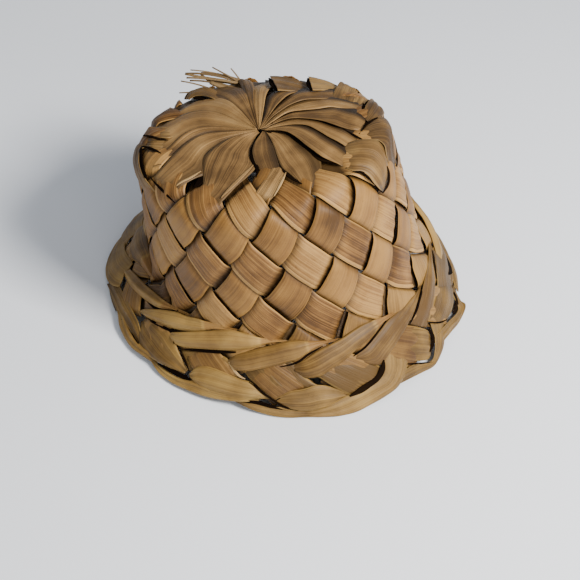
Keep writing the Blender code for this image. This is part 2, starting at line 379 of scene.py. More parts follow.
class Term:
    """A number in a node tree, worked on with Python's operators."""

    def __init__(self, maker: TreeMaker, socket: bpy.types.NodeSocket) -> None:
        """Keeps the socket and the maker of its tree."""
        self.maker = maker
        self.socket = socket

    def math(self, operation: str, *others: "Term | float", first: "Term | float | None" = None) -> "Term":
        """Adds a Math node.

        Args:
            operation: Its operation.
            others: The inputs after the first.
            first: The first input, if it isn't this term.

        Returns:
            The result.
        """
        inputs = [self if first is None else first, *others]
        made = self.maker.node("ShaderNodeMath", {"operation": operation}, dict(enumerate(inputs)))
        return Term(self.maker, made.outputs[0])

    def __add__(self, other: "Term | float") -> "Term":
        """Adds."""
        return self.math("ADD", other)

    __radd__ = __add__

    def __mul__(self, other: "Term | float") -> "Term":
        """Multiplies."""
        return self.math("MULTIPLY", other)

    __rmul__ = __mul__

    def __sub__(self, other: "Term | float") -> "Term":
        """Subtracts."""
        return self.math("SUBTRACT", other)

    def __rsub__(self, other: "Term | float") -> "Term":
        """Subtracts this from a number."""
        return self.math("SUBTRACT", self, first=other)

    def between(self, low: float, high: float) -> "Term":
        """Eases from 0 to 1 between two values.

        Args:
            low: The value that gives 0.
            high: The value that gives 1.

        Returns:
            The eased result.
        """
        made = self.maker.node(
            "ShaderNodeMapRange",
            {"interpolation_type": "SMOOTHSTEP"},
            {"Value": self, "From Min": low, "From Max": high, "To Min": 0.0, "To Max": 1.0},
        )
        return Term(self.maker, made.outputs[0])


@dataclass(frozen=True)
class Cut:
    """How the leaves of one piece are cut and worked, with lengths in metres."""

    wall: float
    seed: float
    pleats: float
    pleat_height: float
    wobble: float
    columns: int = 13
    wobble_scale: float = 55.0


class LeafSweep:
    """The geometry tree that turns guide rings into thin leaves."""

    # The tree's inputs, each with its kind and the field of a Cut that it takes.
    INPUTS = (
        ("Columns", "NodeSocketInt", "columns"),
        ("Pleats", "NodeSocketFloat", "pleats"),
        ("Pleat Height", "NodeSocketFloat", "pleat_height"),
        ("Wobble", "NodeSocketFloat", "wobble"),
        ("Wobble Scale", "NodeSocketFloat", "wobble_scale"),
        ("Seed", "NodeSocketFloat", "seed"),
    )
    RING_VECTORS = ("position", "across", "rise")
    RING_NUMBERS = ("camber", "tone", "along", "leaf", "share", "tuck_shade", "shadow")
    KEPT_NUMBERS = ("span", "leaf", "tone", "share", "tuck_shade", "shadow")
    # The veins follow a leaf's margins by the first share and stay a fixed distance apart by the second.
    VEIN_SPREAD = (0.3, 0.006)
    # How far the pleats and the unevenness move on from leaf to leaf.
    PLEAT_SLIP = 9.0
    WOBBLE_SLIP = 0.37

    def __init__(self) -> None:
        """Builds the tree once for all the leaves."""
        self.tree = bpy.data.node_groups.new("leaf_sweep", "GeometryNodeTree")
        face = self.tree.interface
        face.new_socket("Rings", in_out="INPUT", socket_type="NodeSocketGeometry")
        self.identifiers = {
            key: face.new_socket(name, in_out="INPUT", socket_type=kind).identifier
            for name, kind, key in (*self.INPUTS, ("Leaf", "NodeSocketMaterial", "leaf"))
        }
        face.new_socket("Leaves", in_out="OUTPUT", socket_type="NodeSocketGeometry")
        self._fill(TreeMaker(self.tree))

    def _fill(self, maker: TreeMaker) -> None:
        """Adds the tree's nodes, which bend a flat grid with a row for each ring into the leaves.

        Args:
            maker: Adds them.
        """
        enter = maker.node("NodeGroupInput").outputs
        rings = {"Geometry": enter["Rings"]}
        count = maker.node("GeometryNodeAttributeDomainSize", {"component": "MESH"}, rings).outputs[0]
        size = {"Size X": 1.0, "Size Y": 1.0, "Vertices X": enter["Columns"], "Vertices Y": count}
        grid = maker.node("GeometryNodeMeshGrid", None, size).outputs["Mesh"]
        flat = maker.node("GeometryNodeInputPosition").outputs[0]
        spot = maker.node("ShaderNodeSeparateXYZ", None, {0: flat}).outputs
        number = ((maker.term(spot[1]) + 0.5) * (maker.term(count) - 1.0)).math("ROUND")
        index = maker.node("FunctionNodeFloatToInt", {"rounding_mode": "ROUND"}, {0: number}).outputs[0]
        read = self._ring_values(maker, enter["Rings"], index)
        read["span"] = (maker.term(spot[0]) * 2.0).socket
        leaves = self._keep(maker, grid, read)
        place = self._place(maker, enter, read)
        moved = maker.node("GeometryNodeSetPosition", None, {"Geometry": leaves, "Position": place})
        self._part(maker, moved.outputs[0], enter["Leaf"])

    def _ring_values(
        self, maker: TreeMaker, rings: bpy.types.NodeSocket, index: bpy.types.NodeSocket
    ) -> dict[str, bpy.types.NodeSocket]:
        """Reads the ring that a leaf's point belongs to.

        Args:
            maker: Adds the nodes.
            rings: The guide.
            index: The ring's number.

        Returns:
            The sockets of the ring's values, by name.
        """
        read = {}
        for name in (*self.RING_VECTORS, *self.RING_NUMBERS):
            kind = {"data_type": "FLOAT_VECTOR" if name in self.RING_VECTORS else "FLOAT"}
            if name == "position":
                value = maker.node("GeometryNodeInputPosition").outputs[0]
            else:
                named = maker.node("GeometryNodeInputNamedAttribute", kind, {"Name": name})
                value = named.outputs["Attribute"]
            asked = {"Geometry": rings, "Value": value, "Index": index}
            read[name] = maker.node("GeometryNodeSampleIndex", kind, asked).outputs["Value"]
        return read

    def _keep(
        self, maker: TreeMaker, leaves: bpy.types.NodeSocket, read: dict[str, bpy.types.NodeSocket]
    ) -> bpy.types.NodeSocket:
        """Keeps on the leaves what the finishes read.

        Args:
            maker: Adds the nodes.
            leaves: The leaves so far.
            read: The values of each point's ring, and its span across the leaf.

        Returns:
            The leaves with their attributes.
        """
        length = maker.node("ShaderNodeVectorMath", {"operation": "LENGTH"}, {0: read["across"]})
        half = maker.term(length.outputs["Value"])
        grow, fixed = self.VEIN_SPREAD
        aside = (half * grow + fixed) * maker.term(read["span"])
        lay = maker.node("ShaderNodeCombineXYZ", None, {0: aside, 1: read["along"], 2: 0.0}).outputs[0]
        kept = [(name, read[name], "FLOAT") for name in self.KEPT_NUMBERS] + [("lay", lay, "FLOAT_VECTOR")]
        for name, value, kind in kept:
            leaves = maker.node(
                "GeometryNodeStoreNamedAttribute",
                {"data_type": kind, "domain": "POINT"},
                {"Geometry": leaves, "Name": name, "Value": value},
            ).outputs[0]
        return leaves

    def _place(
        self, maker: TreeMaker, enter: bpy.types.NodeOutputs, read: dict[str, bpy.types.NodeSocket]
    ) -> bpy.types.NodeSocket:
        """Works out where a point lies on its leaf, which is cambered, pleated and a little uneven.

        Args:
            maker: Adds the nodes.
            enter: The tree's inputs.
            read: The values of each point's ring, and its span across the leaf.

        Returns:
            The place's socket.
        """
        span, tone = maker.term(read["span"]), maker.term(read["tone"])
        wave = ((span * maker.term(enter["Pleats"]) + tone * self.PLEAT_SLIP) * math.pi).math("SINE")
        bulge = maker.term(read["camber"]) * (1.0 - span * span) + wave * maker.term(enter["Pleat Height"])
        out = maker.vector("SCALE", read["rise"], bulge)
        place = maker.vector("ADD", out, maker.vector("SCALE", read["across"], span))
        place = maker.vector("ADD", place, read["position"])
        values = {
            "Vector": place,
            "W": maker.term(read["leaf"]) * self.WOBBLE_SLIP + maker.term(enter["Seed"]),
            "Scale": enter["Wobble Scale"],
            "Detail": 1.0,
        }
        noise = maker.node("ShaderNodeTexNoise", {"noise_dimensions": "4D"}, values).outputs[0]
        stir = (maker.term(noise) - 0.5) * 2.0 * maker.term(enter["Wobble"])
        return maker.vector("ADD", place, maker.vector("SCALE", read["rise"], stir))

    def _part(self, maker: TreeMaker, leaves: bpy.types.NodeSocket, finish: bpy.types.NodeSocket) -> None:
        """Parts the leaves from one another and gives them their finish.

        Args:
            maker: Adds the nodes.
            leaves: The leaves, still joined end to end.
            finish: The material.
        """
        named = maker.node("GeometryNodeInputNamedAttribute", {"data_type": "FLOAT"}, {"Name": "leaf"})
        number = maker.term(named.outputs["Attribute"])
        joins = (number.math("FRACT") - 0.5).math("ABSOLUTE").math("LESS_THAN", 0.4)
        asked = {"Geometry": leaves, "Selection": joins}
        apart = maker.node("GeometryNodeDeleteGeometry", {"domain": "FACE"}, asked).outputs[0]
        plain = maker.node("GeometryNodeRealizeInstances", None, {"Geometry": apart}).outputs[0]
        dressed = maker.node("GeometryNodeSetMaterial", None, {"Geometry": plain, "Material": finish})
        maker.node("NodeGroupOutput", None, {0: dressed.outputs[0]})

    def build(self, name: str, guide: Guide, material: bpy.types.Material, cut: Cut) -> bpy.types.Object:
        """Sweeps the leaves of one piece.

        Args:
            name: The piece's name.
            guide: Its rings.
            material: Its finish.
            cut: How its leaves are cut.

        Returns:
            The finished piece, a plain mesh.
        """
        source = bpy.data.objects.new(name + "_guide", guide.mesh(name + "_guide"))
        bpy.context.scene.collection.objects.link(source)
        sweep = source.modifiers.new("sweep", "NODES")
        sweep.node_group = self.tree
        for key, identifier in self.identifiers.items():
            sweep[identifier] = material if key == "leaf" else getattr(cut, key)
        thick = source.modifiers.new("wall", "SOLIDIFY")
        thick.thickness = cut.wall
        thick.offset = -1.0
        source.update_tag()
        graph = bpy.context.evaluated_depsgraph_get()
        graph.update()
        ready = source.evaluated_get(graph)
        mesh = bpy.data.meshes.new_from_object(ready, preserve_all_data_layers=True, depsgraph=graph)
        bpy.data.objects.remove(source)
        mesh.name = name
        for vertex in mesh.vertices:
            if vertex.co.z < FLOOR_ZONE:
                vertex.co.z = FLOOR_ZONE * math.exp(vertex.co.z / FLOOR_ZONE - 1.0)
        mesh.shade_smooth()
        piece = bpy.data.objects.new(name, mesh)
        bpy.context.scene.collection.objects.link(piece)
        return piece


Colour = tuple[float, float, float]


@dataclass(frozen=True)
class Grain:
    """The pattern that all the finishes share: scales in steps to the metre, and spans from 0 to 1."""

    fine_scale: tuple[float, float] = (1300.0, 9.0)
    fine_detail: float = 3.0
    wide_scale: tuple[float, float] = (430.0, 5.0)
    wide_detail: float = 2.0
    wide_slip: float = 3.0
    wide_mix: float = 0.16
    streak_slip: float = 31.0
    streak_range: tuple[float, float] = (0.28, 0.72)
    blot_scale: float = 42.0
    blot_detail: float = 4.0
    blot_mix: float = 1.1
    tone_mix: float = 0.5
    middle: float = 0.42
    stops: tuple[float, float, float] = (0.12, 0.46, 0.85)
    rim: tuple[float, float] = (0.90, 0.985)
    rim_more: Colour = (0.055, 0.038, 0.014)
    hem_edge: tuple[float, float] = (0.80, 0.83)
    hem_line: tuple[float, float, float, float] = (0.755, 0.79, 0.79, 0.825)
    hem_line_mix: float = 0.65
    hem_step: tuple[float, float] = (0.80, 0.82)
    tail: Colour = (0.26, 0.125, 0.035)
    tail_mix: float = 0.55
    tail_step: float = 0.03
    crease_highlight_step: float = 0.035
    crease_highlight_mix: float = 0.5
    speck_scale: float = 700.0
    speck_detail: float = 2.0
    speck_range: tuple[float, float] = (0.66, 0.74)
    speck_mix: float = 0.35
    tuck_shade_mix: float = 0.86
    # The shares of the dark colour in a hem's line, a speck, the painted shade of a tucked place and the
    # painted shadow of a leaf above.
    line_dark: float = 0.45
    speck_dark: float = 0.5
    tuck_shade_dark: float = 0.22
    shade_dark: float = 0.16
    # How high the fine streaks, the wide streaks and a hem stand, as shares of the vein height.
    heights: tuple[float, float, float] = (0.7, 0.6, 0.8)
    vein_height: float = 0.0006
    roughness_swing: float = 0.12


GRAIN = Grain()


@dataclass(frozen=True)
class LeafFinish:
    """A dry palm leaf: its colours, its veins, how light its margins are, and the shade painted on it where
    it lies under others.
    """

    name: str
    dark: Colour
    mid: Colour
    light: Colour
    vein_depth: float
    vein_mix: float
    margin: float
    hem: float = 0.0
    knuckle: float = 0.0
    side_shadow: bool = False
    roughness: float = 0.5
    gloss: float = 0.26

    @property
    def pale(self) -> tuple[float, ...]:
        """Returns the pale colour of the margins and hems, also used for the painted highlight on a twist's
        crease, with alpha.
        """
        return (*(min(1.0, c * 1.3 + more) for c, more in zip(self.light, GRAIN.rim_more)), 1.0)

    def deep(self, share: float) -> tuple[float, ...]:
        """Returns a share of the dark colour, with alpha."""
        return (*(c * share for c in self.dark), 1.0)

    def material(self) -> bpy.types.Material:
        """Builds the finish.

        Returns:
            The material.
        """
        made = bpy.data.materials.new(self.name)
        made.use_nodes = True
        made.node_tree.nodes.clear()
        maker = TreeMaker(made.node_tree)
        lay = maker.node("ShaderNodeAttribute", {"attribute_name": "lay"}).outputs["Vector"]
        place = maker.node("ShaderNodeTexCoord").outputs["Object"]
        span, tone = maker.carried("span"), maker.carried("tone")
        fine = self._streaks(maker, lay, tone, GRAIN.fine_scale, GRAIN.fine_detail)
        wide = self._streaks(maker, lay, tone + GRAIN.wide_slip, GRAIN.wide_scale, GRAIN.wide_detail)
        colour = self._ground(maker, place, tone, fine, wide)
        colour = self._margins(maker, colour, span)
        if self.knuckle:
            colour = self._knuckle(maker, colour, fine)
        colour = self._darken(maker, colour, place, span)
        high, broad, folded = GRAIN.heights
        hem = span.between(*GRAIN.hem_step) * folded if self.hem else 0.0
        height = fine * high + wide * broad + hem
        veins = {"Strength": self.vein_depth, "Distance": GRAIN.vein_height, "Height": height}
        values = {
            "Base Color": colour,
            "Roughness": self.roughness + (wide - 0.5) * GRAIN.roughness_swing,
            "Normal": maker.node("ShaderNodeBump", None, veins).outputs[0],
            "Specular IOR Level": self.gloss,
        }
        shader = maker.node("ShaderNodeBsdfPrincipled", None, values)
        maker.node("ShaderNodeOutputMaterial", None, {"Surface": shader.outputs[0]})
        return made

    def _streaks(
        self,
        maker: TreeMaker,
        lay: bpy.types.NodeSocket,
        slip: Term,
        scale: tuple[float, float],
        detail: float,
    ) -> Term:
        """Adds noise that is drawn out along the leaf.

        Args:
            maker: Adds the nodes.
            lay: The place across and along the leaf, in metres.
            slip: Moves the pattern from leaf to leaf.
            scale: Steps to the metre across and along.
            detail: Octaves of the noise.

        Returns:
            The streaks, about 0 to 1.
        """
        values = {
            "Vector": maker.vector("MULTIPLY", lay, (*scale, 1.0)),
            "W": slip * GRAIN.streak_slip,
            "Scale": 1.0,
            "Detail": detail,
            "Roughness": 0.6,
        }
        noise = maker.node("ShaderNodeTexNoise", {"noise_dimensions": "4D"}, values)
        return maker.term(noise.outputs[0]).between(*GRAIN.streak_range)

    def _ground(
        self, maker: TreeMaker, place: bpy.types.NodeSocket, tone: Term, fine: Term, wide: Term
    ) -> bpy.types.NodeSocket:
        """Colours the leaf by its streaks, its blots and its tone, which a leaf's painted shade lowers.

        Args:
            maker: Adds the nodes.
            place: The place on the piece.
            tone: The leaf's tone, lowered by any painted shade of the whole leaf.
            fine: The fine streaks.
            wide: The wide streaks.

        Returns:
            The colour's socket.
        """
        blot = maker.noise(place, GRAIN.blot_scale, GRAIN.blot_detail)
        even = GRAIN.middle - self.vein_mix / 2
        shade = wide * GRAIN.wide_mix + fine * self.vein_mix + (blot - 0.5) * GRAIN.blot_mix
        ramp = maker.node("ShaderNodeValToRGB", None, {0: shade + (tone - 0.5) * GRAIN.tone_mix + even})
        ramp.color_ramp.elements.new(0.5)
        colours = (self.dark, self.mid, self.light)
        for stop, at, colour in zip(ramp.color_ramp.elements, GRAIN.stops, colours):
            stop.position = at
            stop.color = (*colour, 1.0)
        return ramp.outputs[0]

    def _margins(self, maker: TreeMaker, colour: bpy.types.NodeSocket, span: Term) -> bpy.types.NodeSocket:
        """Lightens the margins, and draws a folded hem with its dark line where the finish has one.

        Args:
            maker: Adds the nodes.
            colour: The colour so far.
            span: The place across the leaf, -1 to 1.

        Returns:
            The colour's socket.
        """
        # Lighter margins: partly the leaf's own paler edges, partly a painted highlight along edges that
        # catch the light.
        rim = span.math("ABSOLUTE").between(*GRAIN.rim) * self.margin
        colour = maker.mix(rim, colour, self.pale)
        if self.hem:
            colour = maker.mix(span.between(*GRAIN.hem_edge) * self.hem, colour, self.pale)
            start, full, fade, end = GRAIN.hem_line
            line = span.between(start, full) * (1.0 - span.between(fade, end)) * GRAIN.hem_line_mix
            colour = maker.mix(line, colour, self.deep(GRAIN.line_dark))
        return colour

    def _knuckle(self, maker: TreeMaker, colour: bpy.types.NodeSocket, fine: Term) -> bpy.types.NodeSocket:
        """Paints a highlight along the crease of a twist, and reddens its tail beyond the crease.

        Args:
            maker: Adds the nodes.
            colour: The colour so far.
            fine: The fine streaks.

        Returns:
            The colour's socket.
        """
        share = maker.carried("share")
        tail = share.between(self.knuckle, self.knuckle + GRAIN.tail_step)
        colour = maker.mix(tail * GRAIN.tail_mix, colour, (*GRAIN.tail, 1.0))
        # Painted highlight along the crease.
        crease_highlight = share.between(self.knuckle - GRAIN.crease_highlight_step, self.knuckle) * (1.0 - tail)
        return maker.mix(crease_highlight * fine * GRAIN.crease_highlight_mix, colour, self.pale)

    def _darken(
        self, maker: TreeMaker, colour: bpy.types.NodeSocket, place: bpy.types.NodeSocket, span: Term
    ) -> bpy.types.NodeSocket:
        """Adds dark specks, and paints shade on what lies under other leaves: where a leaf tucks under its
        neighbours, and as a painted shadow along a leaf's second side.

        Args:
            maker: Adds the nodes.
            colour: The colour so far.
            place: The place on the piece.
            span: The place across the leaf, -1 to 1.

        Returns:
            The colour's socket.
        """
        speck = maker.noise(place, GRAIN.speck_scale, GRAIN.speck_detail).between(*GRAIN.speck_range)
        colour = maker.mix(speck * GRAIN.speck_mix, colour, self.deep(GRAIN.speck_dark))
        # Painted shade where the leaf tucks under its neighbours.
        colour = maker.mix(maker.carried("tuck_shade") * GRAIN.tuck_shade_mix, colour, self.deep(GRAIN.tuck_shade_dark))
        # Painted shadow along the second side, where the raised margin of the neighbouring leaf lies over
        # it.
        if self.side_shadow:
            shadow = maker.carried("shadow")
            neighbour_shadow = (shadow * 0.95 - 0.6 - span).between(0.0, 0.6) * shadow
            colour = maker.mix(neighbour_shadow, colour, self.deep(GRAIN.shade_dark))
        return colour


def follow(rows: list[tuple], number: int, t: float) -> list:
    """Follows a smooth curve through rows of numbers or vectors.

    Args:
        rows: The rows, in order.
        number: The row before the place.
        t: 0 at that row, 1 at the next.

    Returns:
        The values at the place, as many as a row has.
    """
    last = len(rows) - 1
    picks = (rows[min(max(number + j, 0), last)] for j in (-1, 0, 1, 2))
    return [
        (b * 2 + (c - a) * t + (a * 2 - b * 5 + c * 4 - d) * (t * t) + (b * 3 - a - c * 3 + d) * t**3) * 0.5
        for a, b, c, d in zip(*picks)
    ]


# An angle, a run, a half width, a lift, a tilt and a camber, in degrees and millimetres.
Station = tuple[float, float, float, float, float, float]
# The lifts in millimetres at which the painted shade of a leaf that lies under others begins, and is full:
# for a leaf that follows a path, and for one laid by its two sides.
PATH_DARK = (0.9, -1.2)
SIDES_DARK = (1.9, -0.6)
# The narrowest half width and the smallest run of a path, in millimetres.
LEAST_HALF = 0.2
LEAST_RUN = 0.3
# The most that the hat's own roundness cambers a leaf, as a share of its half width.
MOST_CAMBER = 0.25


def path_rings(stations: list[Station], count: int) -> list[Ring]:
    """Lays one leaf through its stations.

    Args:
        stations: Where it goes.
        count: How many rings it gets.

    Returns:
        The rings for a guide.
    """
    last = len(stations) - 1
    spots = []
    for k in range(count):
        at = min(k / (count - 1) * last, last - 1e-9)
        angle, run, half, lift, tilt, camber = follow(stations, int(at), at - int(at))
        turn, run = math.radians(angle), max(run, LEAST_RUN) * MM
        place, normal = FORM.point(turn, run, lift * MM), FORM.normal(turn, run)
        half = max(half, LEAST_HALF) * MM
        spots.append((place, normal, half, tilt * MM, camber * MM, smooth(*PATH_DARK, lift)))
    rings = []
    for k, (place, normal, half, tilt, camber, tuck_shade) in enumerate(spots):
        tangent = (spots[min(k + 1, count - 1)][0] - spots[max(k - 1, 0)][0]).normalized()
        across = tangent.cross(normal).normalized()
        rise = across.cross(tangent)
        rings.append((place, across * half + rise * tilt, rise, camber, tuck_shade))
    return rings


@dataclass(frozen=True)
class Leaf:
    """One leaf laid by its two sides.

    Each row holds the angle and the run of one side, the same of the other side, then the leaf's lift and
    how much the first side is raised over it: degrees and millimetres. The bulge is a share of the half
    width. The shade says how much darker than its neighbours the leaf is painted: painted shade where it
    lies low among them, and on the fan also the strength of the painted shadow on its second side.
    """

    bulge: float
    shade: float
    rows: tuple[tuple[float, ...], ...]

    def rings(self, step: int = 5) -> list[Ring]:
        """Lays the leaf.

        Args:
            step: Rings from one row to the next.

        Returns:
            The rings for a guide.
        """
        spots = []
        for angle_a, run_a, angle_b, run_b, lift, tilt in self.rows:
            one = FORM.point(math.radians(angle_a), run_a * MM, (lift + tilt) * MM)
            other = FORM.point(math.radians(angle_b), run_b * MM, (lift - tilt) * MM)
            angle, run = math.radians((angle_a + angle_b) / 2), max((run_a + run_b) / 2, 1.0) * MM
            normal = FORM.normal(angle, run)
            camber = (FORM.point(angle, run, lift * MM) - (one + other) / 2).dot(normal)
            half = (one - other).length / 2
            bulge = max(min(camber, MOST_CAMBER * half), 0.0) + self.bulge * half
            spots.append((one, other, normal, bulge, smooth(*SIDES_DARK, lift)))
        rings = []
        last = len(spots) - 1
        for k in range(last * step + 1):
            at = min(k // step, last - 1)
            one, other, normal, camber, tuck_shade = follow(spots, at, k / step - at)
            rings.append(((one + other) / 2, (one - other) / 2, normal, camber, tuck_shade))
        return rings


@dataclass(frozen=True)
class Trail:
    """A narrow strip of leaf along a line of places, each an angle and a run.

    The lift, the half width and the runs are in millimetres, the angles in degrees.
    """

    lift: float
    half: float
    places: tuple[tuple[float, float], ...]

    def rings(self, step: int = 5) -> list[Ring]:
        """Lays the strip, narrowing to its ends.

        Args:
            step: Rings from one place to the next.

        Returns:
            The rings for a guide.
        """
        last = len(self.places) - 1
        stations = []
        for k, (angle, run) in enumerate(self.places):
            half = self.half * (0.3 if k in (0, last) else 1.0)
            stations.append((angle, run, half, self.lift, 0.0, 0.1 * half))
        return path_rings(stations, last * step + 1)


def brim_run(share: float) -> float:
    """Returns the run in millimetres at a share of the brim's width."""
    return (FORM.crown_foot + FORM.brim_width * share) / MM


def numbered(node: str) -> tuple[str, ...]:
    """Returns the names of the solids that go round the hat, numbered from 01."""
    return tuple(f"{node}_{k + 1:02d}" for k in range(PLAIT.strips))


def dress(piece: bpy.types.Object, nodes: tuple[str, ...]) -> bpy.types.Object:
    """Puts a piece in the place of its solids.

    Args:
        piece: The piece.
        nodes: The solids.

    Returns:
        The piece.
    """
    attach(piece, "root")
    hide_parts(*nodes)
    return piece


@dataclass
class LeafPiece:
    """One piece of the hat that is laid leaf by leaf."""

    sweep: LeafSweep
    name: str = ""
    slot: str = ""
    nodes: tuple[str, ...] = ()
    seed: int = 0
    cut: Cut = Cut(wall=0.00045, seed=0.0, pleats=0.0, pleat_height=0.0, wobble=0.0)

    def lay(self, guide: Guide, dice: random.Random) -> None:
        """Lays the piece's leaves. Each kind of piece has a way of its own.

        Args:
            guide: Takes the leaves.
            dice: Random numbers for their tones.
        """
        raise NotImplementedError(self.name)

    def build(self, material: bpy.types.Material) -> bpy.types.Object:
        """Builds the piece and puts it in the place of its solids.

        Args:
            material: Its finish.

        Returns:
            The piece.
        """
        guide = Guide()
        self.lay(guide, random.Random(self.seed))
        return dress(self.sweep.build(self.name, guide, material, self.cut), self.nodes)


@dataclass
class PlaitStrips:
    """The strips of a plaited piece. Places and widths are in rows of the plait, heights in metres."""

    sweep: LeafSweep
    title: str = ""
    node: str = ""
    slot: str = ""
    seed: int = 0
    start: float = 0.0
    foot: float = 0.0
    cuts: tuple[Cut, ...] = ()
    relief: float = 0.0021
    firmness: float = 2.8
    bulge: float = 0.0009
    flat_bulge: float = 0.35
    share_top: float = 0.95
    share_brim: float = 0.86
    brim_rows: tuple[float, float] = (4.0, 6.0)
    waist: float = 0.15
    ring_step: float = 0.085
    slip: tuple[float, float] = (-0.025, 0.025)
    narrow: tuple[float, float] = (-0.035, 0.015)
    # How far the width and the place of a strip swing along it, and how fast.
    width_swing: tuple[float, float] = (0.014, 2.1)
    place_swing: tuple[float, float] = (0.018, 1.3)
    # How much wider a strip is where it crosses another, for each lay.
    flares: tuple[float, float] = (0.012, 0.045)
    # How far over its crossing strip a strip is where its painted shade, for diving under, begins and is
    # full.
    tuck_shade_range: tuple[float, float] = (0.42, -0.25)

    def lift(self, lay: Lay, row: float) -> float:
        """Finds how high a strip lies: down-right strips are over on even rows.

        Args:
            lay: Which way it runs.
            row: The row.

        Returns:
            The lift above the middle surface.
        """
        wave = math.tanh(self.firmness * math.cos(math.pi * row)) / math.tanh(self.firmness)
        return self.relief * wave * lay.value

    def top(self, lay: Lay, number: int) -> float:
        """Finds the row where a strip begins.

        Args:
            lay: Which way the strip runs.
            number: Its number round the hat.

        Returns:
            The row.
        """
        return self.start

    def strip(self, lay: Lay, number: int, dice: random.Random) -> list[Ring]:
        """Lays one strip.

        Args:
            lay: Which way it runs.
            number: Its number round the hat.
            dice: Random numbers for its small faults.

        Returns:
            The rings for a guide.
        """
        rings = []
        start = self.top(lay, number)
        slip = dice.uniform(*self.slip)
        narrow = dice.uniform(*self.narrow)
        swing = dice.uniform(0, math.tau)
        flare = self.flares[0] if lay is Lay.DOWN_RIGHT else self.flares[1]
        count = int((self.foot - start) / self.ring_step) + 1
        for k in range(count):
            row = start + (self.foot - start) * k / (count - 1)
            column = 2 * number + lay.value * row
            low = smooth(*self.brim_rows, row)
            share = self.share_top + (self.share_brim - self.share_top) * low + narrow
            share += self.width_swing[0] * math.sin(self.width_swing[1] * row + swing)
            share += flare * (math.cos(math.tau * row) - 0.6)
            lift = self.lift(lay, row)
            over = math.cos(math.pi * row) * lay.value
            shift = slip + self.place_swing[0] * math.sin(self.place_swing[1] * row + swing)
            sides = []
            for side in (-1, 1):
                reach = side * 0.5 * share
                if side == 1 and lay is Lay.DOWN_LEFT:
                    reach *= 1 - self.waist * max(over, 0.0)
                side_row = row + reach * lay.value
                angle = PLAIT.angle(column + shift - reach, side_row)
                sides.append(FORM.point(angle, max(PLAIT.run(side_row), MM), lift))
            middle = FORM.point(PLAIT.angle(column + shift, row), PLAIT.run(row), lift)
            centre = (sides[0] + sides[1]) / 2
            normal = FORM.normal(PLAIT.angle(column, row), PLAIT.run(row))
            fullness = self.flat_bulge + (1 - self.flat_bulge) * max(0.0, lift / self.relief)
            camber = (middle - centre).dot(normal) + self.bulge * fullness
            rings.append((centre, (sides[1] - sides[0]) / 2, normal, camber, smooth(*self.tuck_shade_range, over)))
        return rings

    def build(self, right: bpy.types.Material, left: bpy.types.Material) -> list[bpy.types.Object]:
        """Builds both layers of strips.

        Args:
            right: Finish of the strips that run down to the right.
            left: Finish of the strips that run down to the left.

        Returns:
            The two pieces.
        """
        dice = random.Random(self.seed)
        guides = {lay: Guide() for lay in Lay}
        for number in range(PLAIT.strips):
            for lay, guide in guides.items():
                guide.add(self.strip(lay, number, dice), dice.random())
        pieces = []
        for side, guide, look, cut in zip(("right", "left"), guides.values(), (right, left), self.cuts):
            piece = self.sweep.build(f"{self.title}_{side}", guide, look, cut)
            pieces.append(dress(piece, (self.node,)))
        return pieces


@dataclass
class CrownWall(PlaitStrips):
    """The plaited wall of the crown."""

    title: str = "crown_strips"
    node: str = "crown_weave"
    slot: str = "wall_leaf"
    seed: int = 5
    foot: float = 4.52
    cuts: tuple[Cut, ...] = (
        Cut(wall=0.00045, seed=1.0, pleats=3.4, pleat_height=0.00028, wobble=0.0004),
        Cut(wall=0.00045, seed=2.0, pleats=1.2, pleat_height=0.00012, wobble=0.0003),
    )
    top_right: float = -1.15
    top_left: float = 0.05
    front_left_top: float = -1.35
    back_top: float = 0.3

    def top(self, lay: Lay, number: int) -> float:
        """Finds the row where a strip begins: lower down at the hat's back.

        Args:
            lay: Which way the strip runs.
            number: Its number round the hat.

        Returns:
            The row.
        """
        front = self.top_right if lay is Lay.DOWN_RIGHT else self.top_left
        if lay is Lay.DOWN_LEFT and number in (0, 1):
            front = self.front_left_top
        angle = PLAIT.angle(2 * number + lay.value * self.back_top, self.back_top)
        return front + (self.back_top - front) * smooth(0.25, 0.7, -math.cos(angle))


@dataclass
class Brim(PlaitStrips):
    """The plaited brim, from the crown's foot to its edge."""

    title: str = "brim_strips"
    node: str = "brim_weave"
    slot: str = "brim_leaf"
    seed: int = 9
    start: float = 4.53
    foot: float = 6.5
    cuts: tuple[Cut, ...] = (
        Cut(wall=0.00045, seed=3.0, pleats=2.4, pleat_height=0.0002, wobble=0.0006),
        Cut(wall=0.00045, seed=4.0, pleats=1.6, pleat_height=0.0002, wobble=0.0006),
    )


